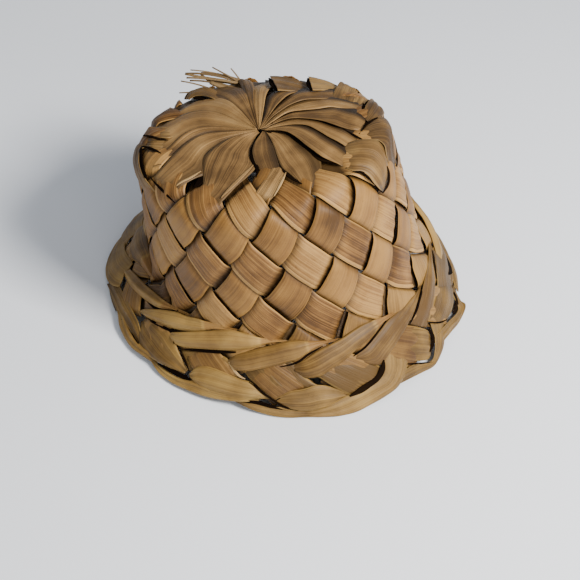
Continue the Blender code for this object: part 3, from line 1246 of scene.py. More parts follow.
@dataclass
class FanTop(LeafPiece):
    """The pleated fan of leaf that closes the crown."""

    name: str = "fan_leaves"
    slot: str = "fan_leaf"
    nodes: tuple[str, ...] = ("crown_fan",)
    seed: int = 3
    cut: Cut = Cut(wall=0.00045, seed=5.0, pleats=2.0, pleat_height=0.0002, wobble=0.0005)
    # How far a leaf's shade lowers its tone: painted shade.
    shade_mix: float = 0.45
    # A leaf under the fan's ends at the back, as triples of a run, a half width and a lift in millimetres.
    under_path: tuple[tuple[float, float, float], ...] = (
        (50, 10.0, -0.4),
        (64, 14.0, -0.6),
        (75, 16.5, -0.9),
        (86, 17.5, -1.8),
        (98, 18.0, -2.8),
        (108, 18.0, -3.0),
    )
    under_count: int = 11
    under_first: float = 84.0
    under_last: float = 276.0
    under_turn: float = 0.12
    under_tilt: float = -0.5
    under_tone: float = -0.25
    under_rings: int = 30

    def under_leaf(self, number: int) -> list[Ring]:
        """Lays one of the leaves that close the back of the shoulder under the fan's ends.

        Args:
            number: Its number round the back.

        Returns:
            The rings for a guide.
        """
        at = self.under_first + (self.under_last - self.under_first) * number / (self.under_count - 1)
        stations = []
        for run, half, lift in self.under_path:
            turn = self.under_turn * (run - self.under_path[0][0])
            stations.append((at + turn, run, half, lift, self.under_tilt, 0.0))
        return path_rings(stations, self.under_rings)

    def lay(self, guide: Guide, dice: random.Random) -> None:
        """Lays the leaves of the fan.

        Args:
            guide: Takes the leaves.
            dice: Random numbers for their tones.
        """
        for leaf in FAN_LEAVES:
            # A leaf's shade lowers its tone as painted shade, and sets the painted shadow on its second
            # side.
            guide.add(leaf.rings(), dice.random() - self.shade_mix * leaf.shade, shadow=leaf.shade)
        for number in range(self.under_count):
            guide.add(self.under_leaf(number), dice.random() + self.under_tone)


@dataclass
class ShoulderFolds(LeafPiece):
    """The leaves that stand up in loops as they turn over the shoulder."""

    name: str = "shoulder_loops"
    slot: str = "fold_leaf"
    nodes: tuple[str, ...] = numbered("shoulder_fold")
    seed: int = 8
    cut: Cut = Cut(wall=0.00045, seed=6.0, pleats=2.2, pleat_height=0.0003, wobble=0.0008)

    def lay(self, guide: Guide, dice: random.Random) -> None:
        """Lays the loops.

        Args:
            guide: Takes the leaves.
            dice: Random numbers for their tones.
        """
        for leaf in LOOP_LEAVES:
            # A leaf's shade lowers its tone: painted shade.
            guide.add(leaf.rings(), dice.random() - leaf.shade)


@dataclass
class TwistBand(LeafPiece):
    """The folded leaf twists round the foot of the crown."""

    name: str = "twist_leaves"
    slot: str = "twist_leaf"
    nodes: tuple[str, ...] = numbered("twist")
    seed: int = 12
    cut: Cut = Cut(
        wall=0.0008,
        seed=7.0,
        pleats=1.6,
        pleat_height=0.00035,
        wobble=0.0008,
        columns=17,
        wobble_scale=70.0,
    )
    rings: int = 46
    first: float = 86.0
    last: float = 250.0
    # Where the first hidden twist starts, as a share of the brim's width, and how far the row climbs.
    low: float = 0.56
    climb: float = 0.12
    flat_reach: float = 0.6
    # A hidden twist, from its start over the knuckle to the end of its tail: each row has the angle and the
    # share of the brim's width from its start, then its half width, lift, tilt and camber in millimetres.
    path: tuple[Station, ...] = (
        (-1.44, 0.0300, 5.5, 0.4, 0.0, 1.0),
        (2.40, -0.0272, 8.6, 2.6, -0.5, 2.4),
        (9.12, -0.0956, 10.6, 3.4, -0.8, 3.6),
        (16.32, -0.2044, 9.6, 3.8, -0.8, 3.8),
        (24.00, -0.3300, 6.2, 3.9, -0.3, 3.0),
        (30.50, -0.3600, 3.2, 2.6, 0.0, 1.6),
        (37.00, -0.3800, 1.6, 1.2, 0.0, 0.8),
    )

    def lay(self, guide: Guide, dice: random.Random) -> None:
        """Lays the twists.

        Args:
            guide: Takes the leaves.
            dice: Random numbers for their tones.
        """
        for leaf in TWIST_LEAVES:
            guide.add(leaf.rings(), dice.random())
        for leaf in FLAT_TWISTS:
            # A leaf's shade lowers its tone: painted shade.
            guide.add(leaf.rings(), dice.random() - leaf.shade, self.flat_reach)
        count = PLAIT.strips - len(TWIST_LEAVES) - len(FLAT_TWISTS)
        for k in range(count):
            at = self.first + (self.last - self.first) * k / (count - 1)
            low = self.low - self.climb * k / count
            stations = [(at + angle, brim_run(low + share), *rest) for angle, share, *rest in self.path]
            guide.add(path_rings(stations, self.rings), dice.random())


@dataclass
class EdgeRolls(LeafPiece):
    """The strips that are rolled round the very edge of the brim on the hidden side."""

    name: str = "edge_rolls"
    slot: str = "edge_leaf"
    nodes: tuple[str, ...] = numbered("edge_leaf")
    seed: int = 4
    cut: Cut = Cut(wall=0.0006, seed=9.0, pleats=1.2, pleat_height=0.0003, wobble=0.0006)
    rings: int = 40
    count: int = 9
    first: float = 102.0
    pitch: float = 20.0
    # One strip: its angle, share of the brim's width, half width, lift, tilt and camber.
    path: tuple[Station, ...] = (
        (-20, 0.80, 3.0, 0.0, 0.0, 0.6),
        (-13, 0.88, 5.5, 0.6, 0.0, 1.6),
        (-4, 0.935, 5.6, 0.8, 0.0, 2.0),
        (6, 0.95, 5.0, 0.6, 0.0, 1.8),
        (15, 0.955, 3.8, 0.0, 0.0, 1.4),
        (22, 0.96, 2.2, -0.8, 0.0, 0.8),
    )

    def lay(self, guide: Guide, dice: random.Random) -> None:
        """Repeats one path round the hidden side.

        Args:
            guide: Takes the leaves.
            dice: Random numbers for their tones.
        """
        for number in range(self.count):
            at = self.first + number * self.pitch
            stations = [(at + angle, brim_run(share), *rest) for angle, share, *rest in self.path]
            guide.add(path_rings(stations, self.rings), dice.random())


@dataclass
class EdgeLeaves(EdgeRolls):
    """The leaves that turn back along the brim's edge."""

    name: str = "edge_leaves"
    seed: int = 21
    cut: Cut = Cut(wall=0.0006, seed=8.0, pleats=1.8, pleat_height=0.00035, wobble=0.0009)
    lift: float = 2.1
    bow: float = 1.2
    fullness: float = 0.16
    # One leaf of the hidden side: its angle, share of the brim's width and half width.
    outline: tuple[tuple[float, float, float], ...] = (
        (12, 0.60, 10.0),
        (9, 0.70, 12.0),
        (4, 0.82, 12.0),
        (-2, 0.90, 10.0),
        (-9, 0.95, 7.0),
        (-17, 0.98, 3.0),
    )

    def __post_init__(self) -> None:
        """Works out the path of a leaf, which bows up in its middle."""
        steps = len(self.outline) - 1
        self.path = tuple(
            (*spot, self.lift + self.bow * math.sin(math.pi * k / steps), 0.0, self.fullness * spot[2])
            for k, spot in enumerate(self.outline)
        )

    def lay(self, guide: Guide, dice: random.Random) -> None:
        """Lays the leaves in front, then those of the hidden side.

        Args:
            guide: Takes the leaves.
            dice: Random numbers for their tones.
        """
        for leaf in EDGE_LEAVES:
            # A leaf's shade lowers its tone: painted shade.
            guide.add(leaf.rings(), dice.random() - leaf.shade)
        super().lay(guide, dice)


@dataclass
class FrayedEnds(LeafPiece):
    """The frayed ends at the back left of the crown."""

    name: str = "frayed_strands"
    slot: str = "frayed_leaf"
    nodes: tuple[str, ...] = ("frayed_ends",)
    seed: int = 17
    cut: Cut = Cut(wall=0.0005, seed=10.0, pleats=1.0, pleat_height=0.0, wobble=0.0, columns=5)
    steps: int = 8
    taper: float = 0.3
    camber: float = 0.3
    # The way that the broad side of every strand faces.
    facing: tuple[float, float, float] = (0, -0.7, 0.7)
    # Half width, then root, middle and tip of each strand, all in millimetres.
    strands: tuple[tuple[float, tuple[float, ...], tuple[float, ...], tuple[float, ...]], ...] = (
        (0.71, (-39.8, 67.9, 139.1), (-49.2, 72.1, 142.1), (-57, 75.6, 144.6)),
        (0.63, (-36.7, 71.1, 137), (-40.4, 74.9, 140.4), (-43.4, 77.5, 142.6)),
        (0.63, (-38.2, 70.8, 138), (-57.1, 76.1, 140.9), (-72.8, 77.7, 140.4)),
        (0.97, (-38.3, 68.1, 138.1), (-60.1, 74.1, 141.4), (-76.6, 74.4, 139.5)),
        (1.09, (-45.6, 66.9, 138.8), (-63.7, 69.9, 139.4), (-76.7, 72.5, 140.4)),
        (0.97, (-38.5, 64.6, 138.9), (-61.6, 68.9, 140.2), (-75.7, 69.7, 139.1)),
        (0.71, (-50.1, 57.6, 133.1), (-60.9, 63.4, 137.5), (-79.7, 66.6, 138.3)),
        (0.88, (-40, 61.3, 136.8), (-59.4, 66.7, 139.6), (-73.3, 67.2, 138.4)),
        (1.01, (-55.7, 68, 134.4), (-61.8, 72, 137.6), (-66, 74.7, 139.7)),
        (0.97, (-36.8, 69.4, 138.2), (-53.5, 73.8, 140.4), (-65.2, 74.9, 140)),
        (2.1, (-38.5, 58.7, 134.3), (-50.8, 62.8, 136.8), (-58.8, 65.5, 138.5)),
        (1.6, (-36.9, 65.7, 137.3), (-49.9, 68.3, 138.2), (-59.6, 68.9, 137.5)),
        (0.63, (-65.9, 59.3, 134.2), (-73.8, 59.6, 133.5), (-80.9, 59.8, 132.8)),
        (1.01, (-70.2, 60.1, 134.4), (-75.3, 59.6, 133.3), (-76.8, 56.2, 129.7)),
        (1.76, (-39.9, 60.1, 134.1), (-50, 62.9, 135.6), (-57.2, 66.1, 137.9)),
        (1.26, (-35.3, 69.1, 136.7), (-44, 72.2, 138.7), (-51.3, 73.2, 138.7)),
    )

    def lay(self, guide: Guide, dice: random.Random) -> None:
        """Lays the strands.

        Args:
            guide: Takes the strands.
            dice: Random numbers for their tones.
        """
        for half, *places in self.strands:
            root, middle, tip = (Vector(place) * MM for place in places)
            rings = []
            for k in range(self.steps + 1):
                share = k / self.steps
                place = root.lerp(middle, share).lerp(middle.lerp(tip, share), share)
                way = (middle - root).lerp(tip - middle, share).normalized()
                across = way.cross(Vector(self.facing)).normalized() * half * MM * (1 - self.taper * share)
                rings.append((place, across, across.cross(way).normalized(), self.camber * half * MM, 0.0))
            guide.add(rings, dice.random())


@dataclass
class SmallLeaves(LeafPiece):
    """Narrow leaf: pale folded hems, or near-black strips of painted shade in the gaps between leaves."""

    seed: int = 31
    cut: Cut = Cut(wall=0.0003, seed=11.0, pleats=1.0, pleat_height=0.0, wobble=0.0001, columns=5)
    trails: tuple[Trail, ...] = ()

    def lay(self, guide: Guide, dice: random.Random) -> None:
        """Lays the strips.

        Args:
            guide: Takes the strips.
            dice: Random numbers for their tones.
        """
        for trail in self.trails:
            guide.add(trail.rings(), dice.random())


@dataclass(frozen=True)
class Lamp:
    """A square soft lamp, with its size in metres and its power in watts."""

    name: str
    place: tuple[float, float, float]
    size: float
    power: float
    colour: Colour


@dataclass(frozen=True)
class Studio:
    """The floor, the light and the camera."""

    focal_pixels: float = 1200.0
    frame_pixels: float = 580.0
    distance: float = 0.921
    elevation: float = 0.787
    roll: float = -0.09
    aside: tuple[float, float] = (0.000485, -0.00184)
    brim_place: tuple[float, float, float] = (-0.0037, 0.0057, 0.0005)
    sensor: float = 36.0
    aim: tuple[float, float, float] = (0, 0, 0.08)
    sky_colour: Colour = (0.88, 0.93, 1.0)
    sky_strength: float = 0.46
    lamps: tuple[Lamp, ...] = (
        Lamp("key", (0.73, -0.64, 1.00), 0.40, 35.0, (1.0, 0.97, 0.93)),
        Lamp("fill", (0.25, -1.4, 0.55), 0.8, 6.0, (1.0, 0.98, 0.96)),
    )
    floor_colour: Colour = (0.88, 0.91, 0.96)
    floor_half: float = 4.0
    floor_drop: float = 0.0005

    def camera(self) -> None:
        """Places the camera where the photograph was taken from."""
        s, c = math.sin(self.elevation), math.cos(self.elevation)
        look = Matrix(((1, 0, 0), (0, -s, -c), (0, c, -s)))
        rs, rc = math.sin(self.roll), math.cos(self.roll)
        rolled = Matrix(((rc, -rs, 0), (rs, rc, 0), (0, 0, 1))) @ look
        lean = Matrix.Rotation(-FORM.crown_lean, 3, "Y")
        offset = Vector((*self.aside, self.distance))
        place = lean @ (rolled.transposed() @ -offset - Vector(self.brim_place))
        right, down, ahead = (lean @ rolled[k] for k in range(3))
        pose = Matrix((right, -down, -ahead)).transposed().to_4x4()
        pose.translation = place
        data = bpy.data.cameras.new("camera")
        data.sensor_width = self.sensor
        data.lens = self.sensor * self.focal_pixels / self.frame_pixels
        data.shift_x = 1.0 / self.frame_pixels
        data.clip_end = 20.0
        camera = bpy.data.objects.new("camera", data)
        camera.matrix_world = pose
        bpy.context.scene.collection.objects.link(camera)
        bpy.context.scene.camera = camera

    def light(self) -> None:
        """Adds a pale sky and the soft lamps."""
        world = bpy.data.worlds.new("studio")
        bpy.context.scene.world = world
        world.use_nodes = True
        sky = world.node_tree.nodes["Background"]
        sky.inputs[0].default_value = (*self.sky_colour, 1.0)
        sky.inputs[1].default_value = self.sky_strength
        for lamp in self.lamps:
            data = bpy.data.lights.new(lamp.name, "AREA")
            data.size = lamp.size
            data.energy = lamp.power
            data.color = lamp.colour
            made = bpy.data.objects.new(lamp.name, data)
            made.location = lamp.place
            made.rotation_mode = "QUATERNION"
            made.rotation_quaternion = (Vector(self.aim) - Vector(lamp.place)).to_track_quat("-Z", "Y")
            bpy.context.scene.collection.objects.link(made)

    def floor(self) -> bpy.types.Object:
        """Builds the plain pale floor.

        Returns:
            The floor.
        """
        mesh = bpy.data.meshes.new("floor")
        half = self.floor_half
        corners = [(-half, -half, 0), (half, -half, 0), (half, half, 0), (-half, half, 0)]
        mesh.from_pydata(corners, [], [(0, 1, 2, 3)])
        made = bpy.data.materials.new("pale_floor")
        made.use_nodes = True
        shader = made.node_tree.nodes["Principled BSDF"]
        shader.inputs["Base Color"].default_value = (*self.floor_colour, 1.0)
        shader.inputs["Roughness"].default_value = 0.85
        mesh.materials.append(made)
        floor = bpy.data.objects.new("floor", mesh)
        floor.location.z = -self.floor_drop
        bpy.context.scene.collection.objects.link(floor)
        return floor


# The leaves of the fan, from the front round by the left and the back to the right.
FAN_LEAVES: tuple[Leaf, ...] = (
    Leaf(0.1, 0.3, (
        (-20, 5.6, -9, 6.1, 2.6, 0.3), (-45, 11.8, -19, 10.7, 2.8, 1.4),
        (-58, 19.5, -17.7, 17.2, 2.8, 1.5), (-59.7, 28.5, -13.4, 25.6, 2.8, 1.5),
        (-57.3, 39.1, -9.6, 32.8, 2.8, 1.4), (-54, 47.6, -5.8, 40.9, 2.8, 0.2),
        (-47, 54.7, -12.1, 52.2, 2.8, -0.2), (-40.1, 61.5, -17.4, 62, 2.6, -0.3),
        (-36.8, 67.6, -21.1, 73.6, 2.3, -0.3), (-39, 71.9, -23, 77.3, 1, 0),
        (-40.2, 73.9, -24.5, 79.9, -0.8, 0),
    )),
    Leaf(0.1, 0.6, (
        (-28, 4.7, -18, 5, 2.4, 0.3), (-64, 10.7, -49, 8.9, 2.6, 0.8), (-76, 19.6, -56, 15.9, 2.6, 1.4),
        (-82, 28.7, -60, 26.4, 2.6, 1.4), (-83.7, 37.5, -56.7, 37, 2.6, 1.4),
        (-81, 45.3, -51.9, 45.9, 2.6, 1.4), (-76.2, 53.9, -45.3, 52.6, 2.6, 0.8),
        (-70.8, 61.9, -41.7, 58.4, 2.6, 0.5), (-66.2, 70.6, -44.1, 65.4, 2.4, 0),
        (-63.7, 78.1, -45.8, 73.7, 2.2, -0.2), (-63.8, 81.8, -46.8, 78.4, 1.2, 0),
        (-57.9, 83.2, -47.2, 83.1, -0.6, 0),
    )),
    Leaf(0.1, 0.6, (
        (-38, 4.3, -22, 4.6, 2.2, 0.3), (-78, 10.5, -72, 10.1, 2.4, 0.8),
        (-92, 18.9, -84, 18.5, 2.4, 1.3), (-97, 28.6, -87, 28, 2.4, 1.3),
        (-97.3, 38.1, -86.8, 36.8, 2.4, 1.3), (-93.8, 46.2, -83.2, 44.4, 2.4, 1.3),
        (-87.6, 53, -76.8, 53.2, 2.4, 1.3), (-81.5, 59.9, -70.5, 61.4, 2.2, 0.8),
        (-78.3, 66.2, -67.3, 68.6, 1.6, 0.5), (-79, 71.4, -65.3, 74.5, -0.4, 0),
    )),
    Leaf(0.1, 0.3, (
        (-46, 4.1, -35, 3.7, 2, 0.3), (-101, 8.9, -85, 9.8, 2.2, 0.7), (-118, 18.1, -96, 18.8, 2.2, 0.7),
        (-124.2, 30.7, -98, 28.5, 2.2, 0.7), (-124.3, 42.3, -97.3, 38.1, 2.2, 0.7),
        (-122, 52.1, -93.6, 46.1, 2.2, 0.7), (-116.9, 58.5, -87.1, 52.8, 2.2, 0.7),
        (-111.1, 63.7, -81.5, 59.5, 1.8, 0.6), (-108.1, 68.7, -76.1, 67.1, 1, 0.3),
        (-105.8, 74.4, -75.7, 73.3, -0.8, 0),
    )),
    Leaf(0.1, 0.3, (
        (-43, 3.9, -45, 3.2, 2, 0.3), (-139, 11.9, -104, 9.2, 2.2, 0.6),
        (-147.8, 25.4, -119, 18.8, 2.2, 0.6), (-148.6, 38.6, -124, 30.7, 2.2, 0.6),
        (-145.9, 50.2, -123.8, 42.7, 2.2, 0.6), (-140.6, 57, -121.8, 53, 2.2, 0.6),
        (-135.9, 61.7, -116.9, 59.7, 2, 0.6), (-131.5, 65.3, -112.4, 64.8, 1.2, 0.3),
        (-128.8, 71, -109.5, 69.8, -0.6, 0), (-128.8, 79, -109.5, 77.8, -1.6, 0),
    )),
    Leaf(0.1, 0.3, (
        (-38, 3.1, -47, 3.2, 2.2, 0.2), (-159, 10.2, -137, 11.1, 2.6, 0.3),
        (-166, 24.2, -146.3, 24.8, 2.6, 0.4), (-168.4, 37.4, -146.1, 39.2, 2.4, 0.5),
        (-169.1, 52.1, -145.4, 52.8, 2.2, 0.5), (-165.3, 63.5, -144.3, 60.5, 1.6, 0.3),
        (-163, 79, -145.3, 70.6, 0, 0), (-163, 86, -145.3, 77.6, -0.8, 0),
        (-163, 94, -145.3, 85.6, -1.8, 0),
    )),
    Leaf(0.1, 0.3, (
        (-31, 3, -37, 2.7, 2.2, 0.2), (-169, 10.3, -159, 10.4, 2.8, 0.3),
        (-173.4, 23.5, -165.5, 24.4, 3.2, 0.4), (-175.3, 35.7, -167.6, 37.4, 3.2, 0.5),
        (-176.9, 46.9, -167.9, 54, 3.4, 0.5), (-176, 63.7, -168.5, 76.3, 3.2, 0.3),
        (-174, 79, -167, 79, 1.5, 0), (-174, 85, -167, 85, -0.4, 0), (-174, 92, -167, 92, -1.8, 0),
    )),
    Leaf(0.1, 0.3, (
        (-17, 2.8, -32, 2.6, 2.2, 0.2), (-190, 9.8, -168, 11.3, 2.8, 0.3),
        (-189.9, 21.8, -172, 25.3, 3, 0.4), (-189.4, 32, -174, 38.8, 3, 0.5),
        (-189.8, 41.5, -175.6, 53.5, 2.8, 0.5), (-190.8, 52.1, -178.6, 58.2, 2.2, 0.3),
        (-191, 65.7, -182.4, 66.8, 0.5, 0), (-191, 71.7, -182.4, 72.8, -0.8, 0),
        (-191, 78.7, -182.4, 79.8, -1.8, 0),
    )),
    Leaf(0.1, 0.95, (
        (-6, 3, -24, 2.3, 2.4, 0.3), (146, 11.8, 174, 10.6, 2.8, 0.8),
        (147.3, 22.1, 176.1, 24.7, 3, 1.6), (146.5, 29.7, 175.8, 36.6, 3, 1.9),
        (145.6, 37.5, 171.6, 42.4, 3, 1.9), (144.8, 47.8, 162.7, 48.1, 2.4, 0.8),
        (144.3, 56, 156.2, 61.5, 1, 0.2), (144.3, 64, 156.2, 69.5, -0.6, 0),
        (144.3, 72, 156.2, 77.5, -1.8, 0),
    )),
    Leaf(0.1, 0.95, (
        (3, 3.1, -8, 2.2, 2.4, 0.3), (133, 11.6, 154, 13.9, 2.8, 0.9), (131, 20, 155.9, 25.7, 3, 1.8),
        (130.4, 29.2, 154.9, 34.4, 3, 1.9), (126.9, 38.7, 155.6, 46.9, 3, 1.9),
        (121.8, 47.6, 149.8, 58, 3, 1.8), (119.8, 57.2, 141.4, 65.9, 2.6, 0.9),
        (121.4, 65.3, 134.4, 73.2, 1.6, 0.3), (122.5, 72.4, 134, 81.9, -0.4, 0),
    )),
    Leaf(0.1, 0.95, (
        (15, 3.4, 10, 2.3, 2.4, 0.3), (111, 11.2, 141, 14.1, 2.8, 0.9), (117, 22, 142.8, 25.8, 3, 1.9),
        (110.9, 32, 141.9, 35.4, 3, 2), (107.1, 41.7, 138.4, 46, 3, 2), (106, 51.4, 133, 53.9, 3, 2),
        (102.8, 58.4, 126.9, 60.9, 2.8, 0.9), (100.6, 64.8, 118.9, 66.4, 2.4, 0.5),
        (98.6, 70.6, 113.2, 73.7, 1.2, 0.2),
    )),
    Leaf(0.1, 0.95, (
        (17, 3.8, 20, 2.8, 2.4, 0.3), (98, 11, 122, 12.1, 2.8, 0.9), (98, 21.4, 129.1, 25.9, 3, 1.9),
        (93, 31.3, 122.7, 36.3, 3, 2), (87.6, 40.4, 119, 47, 3, 2), (81.7, 49.8, 119.1, 58.4, 3, 2),
        (79.6, 58, 111.1, 62.1, 2.8, 0.9), (79.2, 64.7, 104.6, 68.5, 2.4, 0.5),
        (82, 69.2, 95.8, 73.2, 1, 0),
    )),
    Leaf(0.1, 0.95, (
        (26, 4.3, 26, 3.1, 2.4, 0.3), (79, 13, 111, 12.1, 2.8, 0.9), (82, 23.7, 115, 22.8, 3, 1.9),
        (80, 31.9, 106, 32.7, 3, 2), (72.5, 40.1, 99.1, 41.9, 3, 2), (66.7, 48.2, 91.1, 51.3, 3, 2),
        (64.7, 55.1, 86.1, 59.6, 2.8, 1.6), (63.6, 61.1, 80.7, 66.8, 2.2, 0.5),
        (63.2, 66.2, 77.4, 71.8, 0.8, 0.1),
    )),
    Leaf(0.1, 0.95, (
        (29, 5.1, 31, 3.9, 2.4, 0.3), (57, 13.3, 91, 11.4, 2.8, 0.9), (57, 21.7, 100, 22, 3, 2),
        (51.5, 30.4, 97, 31.6, 3.2, 2.1), (47.1, 38.9, 89.4, 38.2, 3.4, 2.2),
        (45.1, 46.9, 81.1, 44.5, 3.4, 2.2), (44.1, 54.5, 75.1, 51.4, 3.2, 2),
        (45.9, 60.5, 68.4, 59.8, 2.6, 0.8), (47.5, 65.7, 62, 67.9, 1.8, 0.2),
        (48.8, 71.8, 55.4, 74.6, -0.2, 0),
    )),
    Leaf(0.1, 0.75, (
        (29, 6.9, 38, 6.2, 2.2, 0.3), (23, 15.4, 65, 16.1, 2.4, 0.7), (18.7, 25.2, 62, 26, 2.4, 0.7),
        (15.3, 36.9, 52.7, 38.7, 2.6, 0.7), (14.9, 46.9, 48, 48.9, 2.6, 0.6),
        (18, 54.4, 41.1, 57.4, 2.4, 0.5), (20.2, 63.4, 33, 66.7, 2, 0.3),
        (21.9, 68.2, 28.4, 73, -0.6, 0),
    )),
    Leaf(0.1, 0.75, (
        (16, 6.3, 28, 6.1, 2.4, 0.3), (-6, 12.3, 25, 14.3, 2.8, 0.7), (-13.6, 19.2, 22.3, 23.1, 3, 0.7),
        (-13.1, 27.5, 19.5, 31.7, 3, 0.7), (-9.1, 35.9, 17.1, 41, 2.8, 0.5),
        (-4.2, 43, 14.8, 47.1, 2.2, 0.2), (-0.1, 48.9, 12.2, 50.3, 0.4, 0),
    )),
    Leaf(0.1, 0.3, (
        (11.5, 39.3, 17.2, 45.2, 1.6, 0), (7.1, 44.9, 16.1, 52.6, 2.8, 0), (-1, 57.1, 9, 61.6, 2.8, 0),
        (-5.3, 65.5, 4.2, 70.6, 2.2, 0), (-8.6, 68.7, 0.8, 73.1, -0.8, 0),
    )),
)
# The leaves that loop over the shoulder.
LOOP_LEAVES: tuple[Leaf, ...] = (
    Leaf(0, 0, (
        (146.7, 65.3, 141.9, 54, 1.6, 0), (155.6, 68.6, 146.3, 48.6, 3, 0),
        (163.2, 68.8, 152.1, 42.9, 4.5, 0), (168.5, 68.1, 156.3, 39.6, 5.6, 0),
        (172.5, 65.8, 158.3, 37.6, 6.4, 0),
    )),
    Leaf(0, 0, (
        (134, 81, 128.9, 68.8, 1.6, 0), (142, 81.1, 132, 62.4, 3, 0), (144.5, 74, 132.3, 56.6, 4.8, 0),
        (147.2, 71.9, 132.4, 52.7, 5.8, 0), (149.5, 70.6, 132.4, 50.6, 6.4, 0),
    )),
    Leaf(0, 0, (
        (107.5, 67.6, 119.6, 56.5, 1.8, 0), (113.4, 72.3, 124.5, 62.6, 2.8, 0),
        (124, 83, 129.6, 70.6, 3.8, 0), (124, 82.9, 135, 80.9, 5, -0.4),
        (124, 89.9, 135, 87.9, 4.4, -0.4), (124, 98.9, 135, 96.9, 2, 0),
        (124, 109.9, 135, 107.9, -1.2, 0),
    )),
    Leaf(0, 0, (
        (106.5, 74.3, 107.7, 64.7, 1.4, 0), (113, 81, 115.7, 73.1, 2.2, 0), (116, 85.3, 123, 82.9, 3, 0),
        (116, 92.3, 123, 89.9, 3, -0.4), (116, 100.3, 123, 97.9, 1.6, 0),
        (116, 109.3, 123, 106.9, -1.2, 0),
    )),
    Leaf(0, 0.2, (
        (88, 74.4, 91.5, 69.8, 1.6, 0), (92, 80.1, 98, 71.6, 3.2, 0), (102, 86.8, 105.5, 75.8, 4.4, 0),
        (106, 87.2, 115, 85.2, 5, 0), (106, 94.2, 115, 92.2, 4, -0.6), (106, 103.2, 115, 101.2, 1.8, 0),
        (106, 115.2, 115, 113.2, -1.2, 0),
    )),
    Leaf(0, 0.5, (
        (73.8, 68.2, 80.8, 65.3, 1, 0), (73.4, 75.4, 84.4, 71.1, 3.2, 0.2),
        (73.4, 79.6, 89.8, 76.5, 4.2, 0.6), (71.9, 82.7, 96, 83.7, 4.6, 0.8),
        (70.2, 84.5, 97, 90.2, 4.2, 0.6), (68.6, 86.9, 88, 90.9, 3.6, 0.4),
        (69, 92.9, 80.9, 96.5, 2.8, 0), (75.2, 106.6, 81.5, 109.4, 1.2, 0),
    )),
    Leaf(0, 0.6, (
        (47.9, 71.7, 64.9, 58.5, 1.4, 0), (48.1, 76.9, 67.9, 65, 3.6, -0.5),
        (50.4, 80.2, 70.1, 71.5, 4.6, -0.6), (51.5, 84.1, 72.5, 76.7, 5, -0.4),
        (51.5, 88, 72.5, 81.1, 5, 0.4), (52.5, 91.7, 70.1, 85.4, 4.6, 0.8),
        (54.2, 96, 66.8, 90.6, 4, 0.8), (57.2, 101.5, 64.4, 97.4, 2.4, 0),
    )),
    Leaf(0, 0, (
        (-95.8, 83.4, -101, 86.2, 1.6, 0), (-88.5, 74.6, -93.2, 74.9, 2.8, 0),
        (-86.4, 68.2, -90.8, 68.2, 3, 0), (-86.8, 61.7, -89.8, 61.6, 1.2, 0),
    )),
    Leaf(0, 0, (
        (-90.5, 83.4, -97, 87, 1.4, 0), (-83.9, 75.8, -88.3, 74.9, 2.2, 0),
        (-80.3, 70.5, -87, 68.3, 2.4, 0), (-79.6, 66.1, -87.5, 62.4, 0.8, 0),
    )),
    Leaf(0, 0.4, (
        (-74.2, 83.8, -90.5, 84.1, 1, 0), (-69.3, 78.5, -84.1, 75.9, 2, 0),
        (-67.2, 74.2, -79, 71.4, 2.2, 0), (-67.4, 69, -75.1, 66.6, 0.6, 0),
    )),
    Leaf(0, 0, (
        (-92.7, 73.6, -105, 78.2, 1, 0), (-89.2, 67.5, -102.5, 70.6, 2.8, 0),
        (-87.8, 62, -102.4, 64.6, 3, 0), (-92.6, 57.6, -102.8, 57.9, 1.2, 0),
    )),
    Leaf(0, 0, (
        (-92.6, 80.5, -86.4, 77.6, 1.4, 0), (-95, 87.3, -86.2, 81.1, 3.2, 0),
        (-90, 90.2, -81.1, 82.7, 4.2, 0), (-84, 91.7, -75.2, 84.2, 4.2, 0), (-79, 95, -68, 85.3, 3.4, 0),
        (-74, 99.9, -59.1, 86.7, 1.8, 0), (-74, 109.4, -55.5, 92.5, -0.8, 0),
    )),
    Leaf(0, 0, (
        (-135.7, 71.6, -135.7, 75.8, 2, 0), (-138.5, 68.2, -142, 80.5, 4, 0),
        (-140.5, 61.1, -147.6, 79.6, 4.8, 0), (-141.7, 52.8, -150.2, 71.2, 4.6, 0),
        (-143.6, 48.7, -152.8, 65, 2.4, 0), (-147, 47.4, -153.7, 57.7, 0, 0),
    )),
)
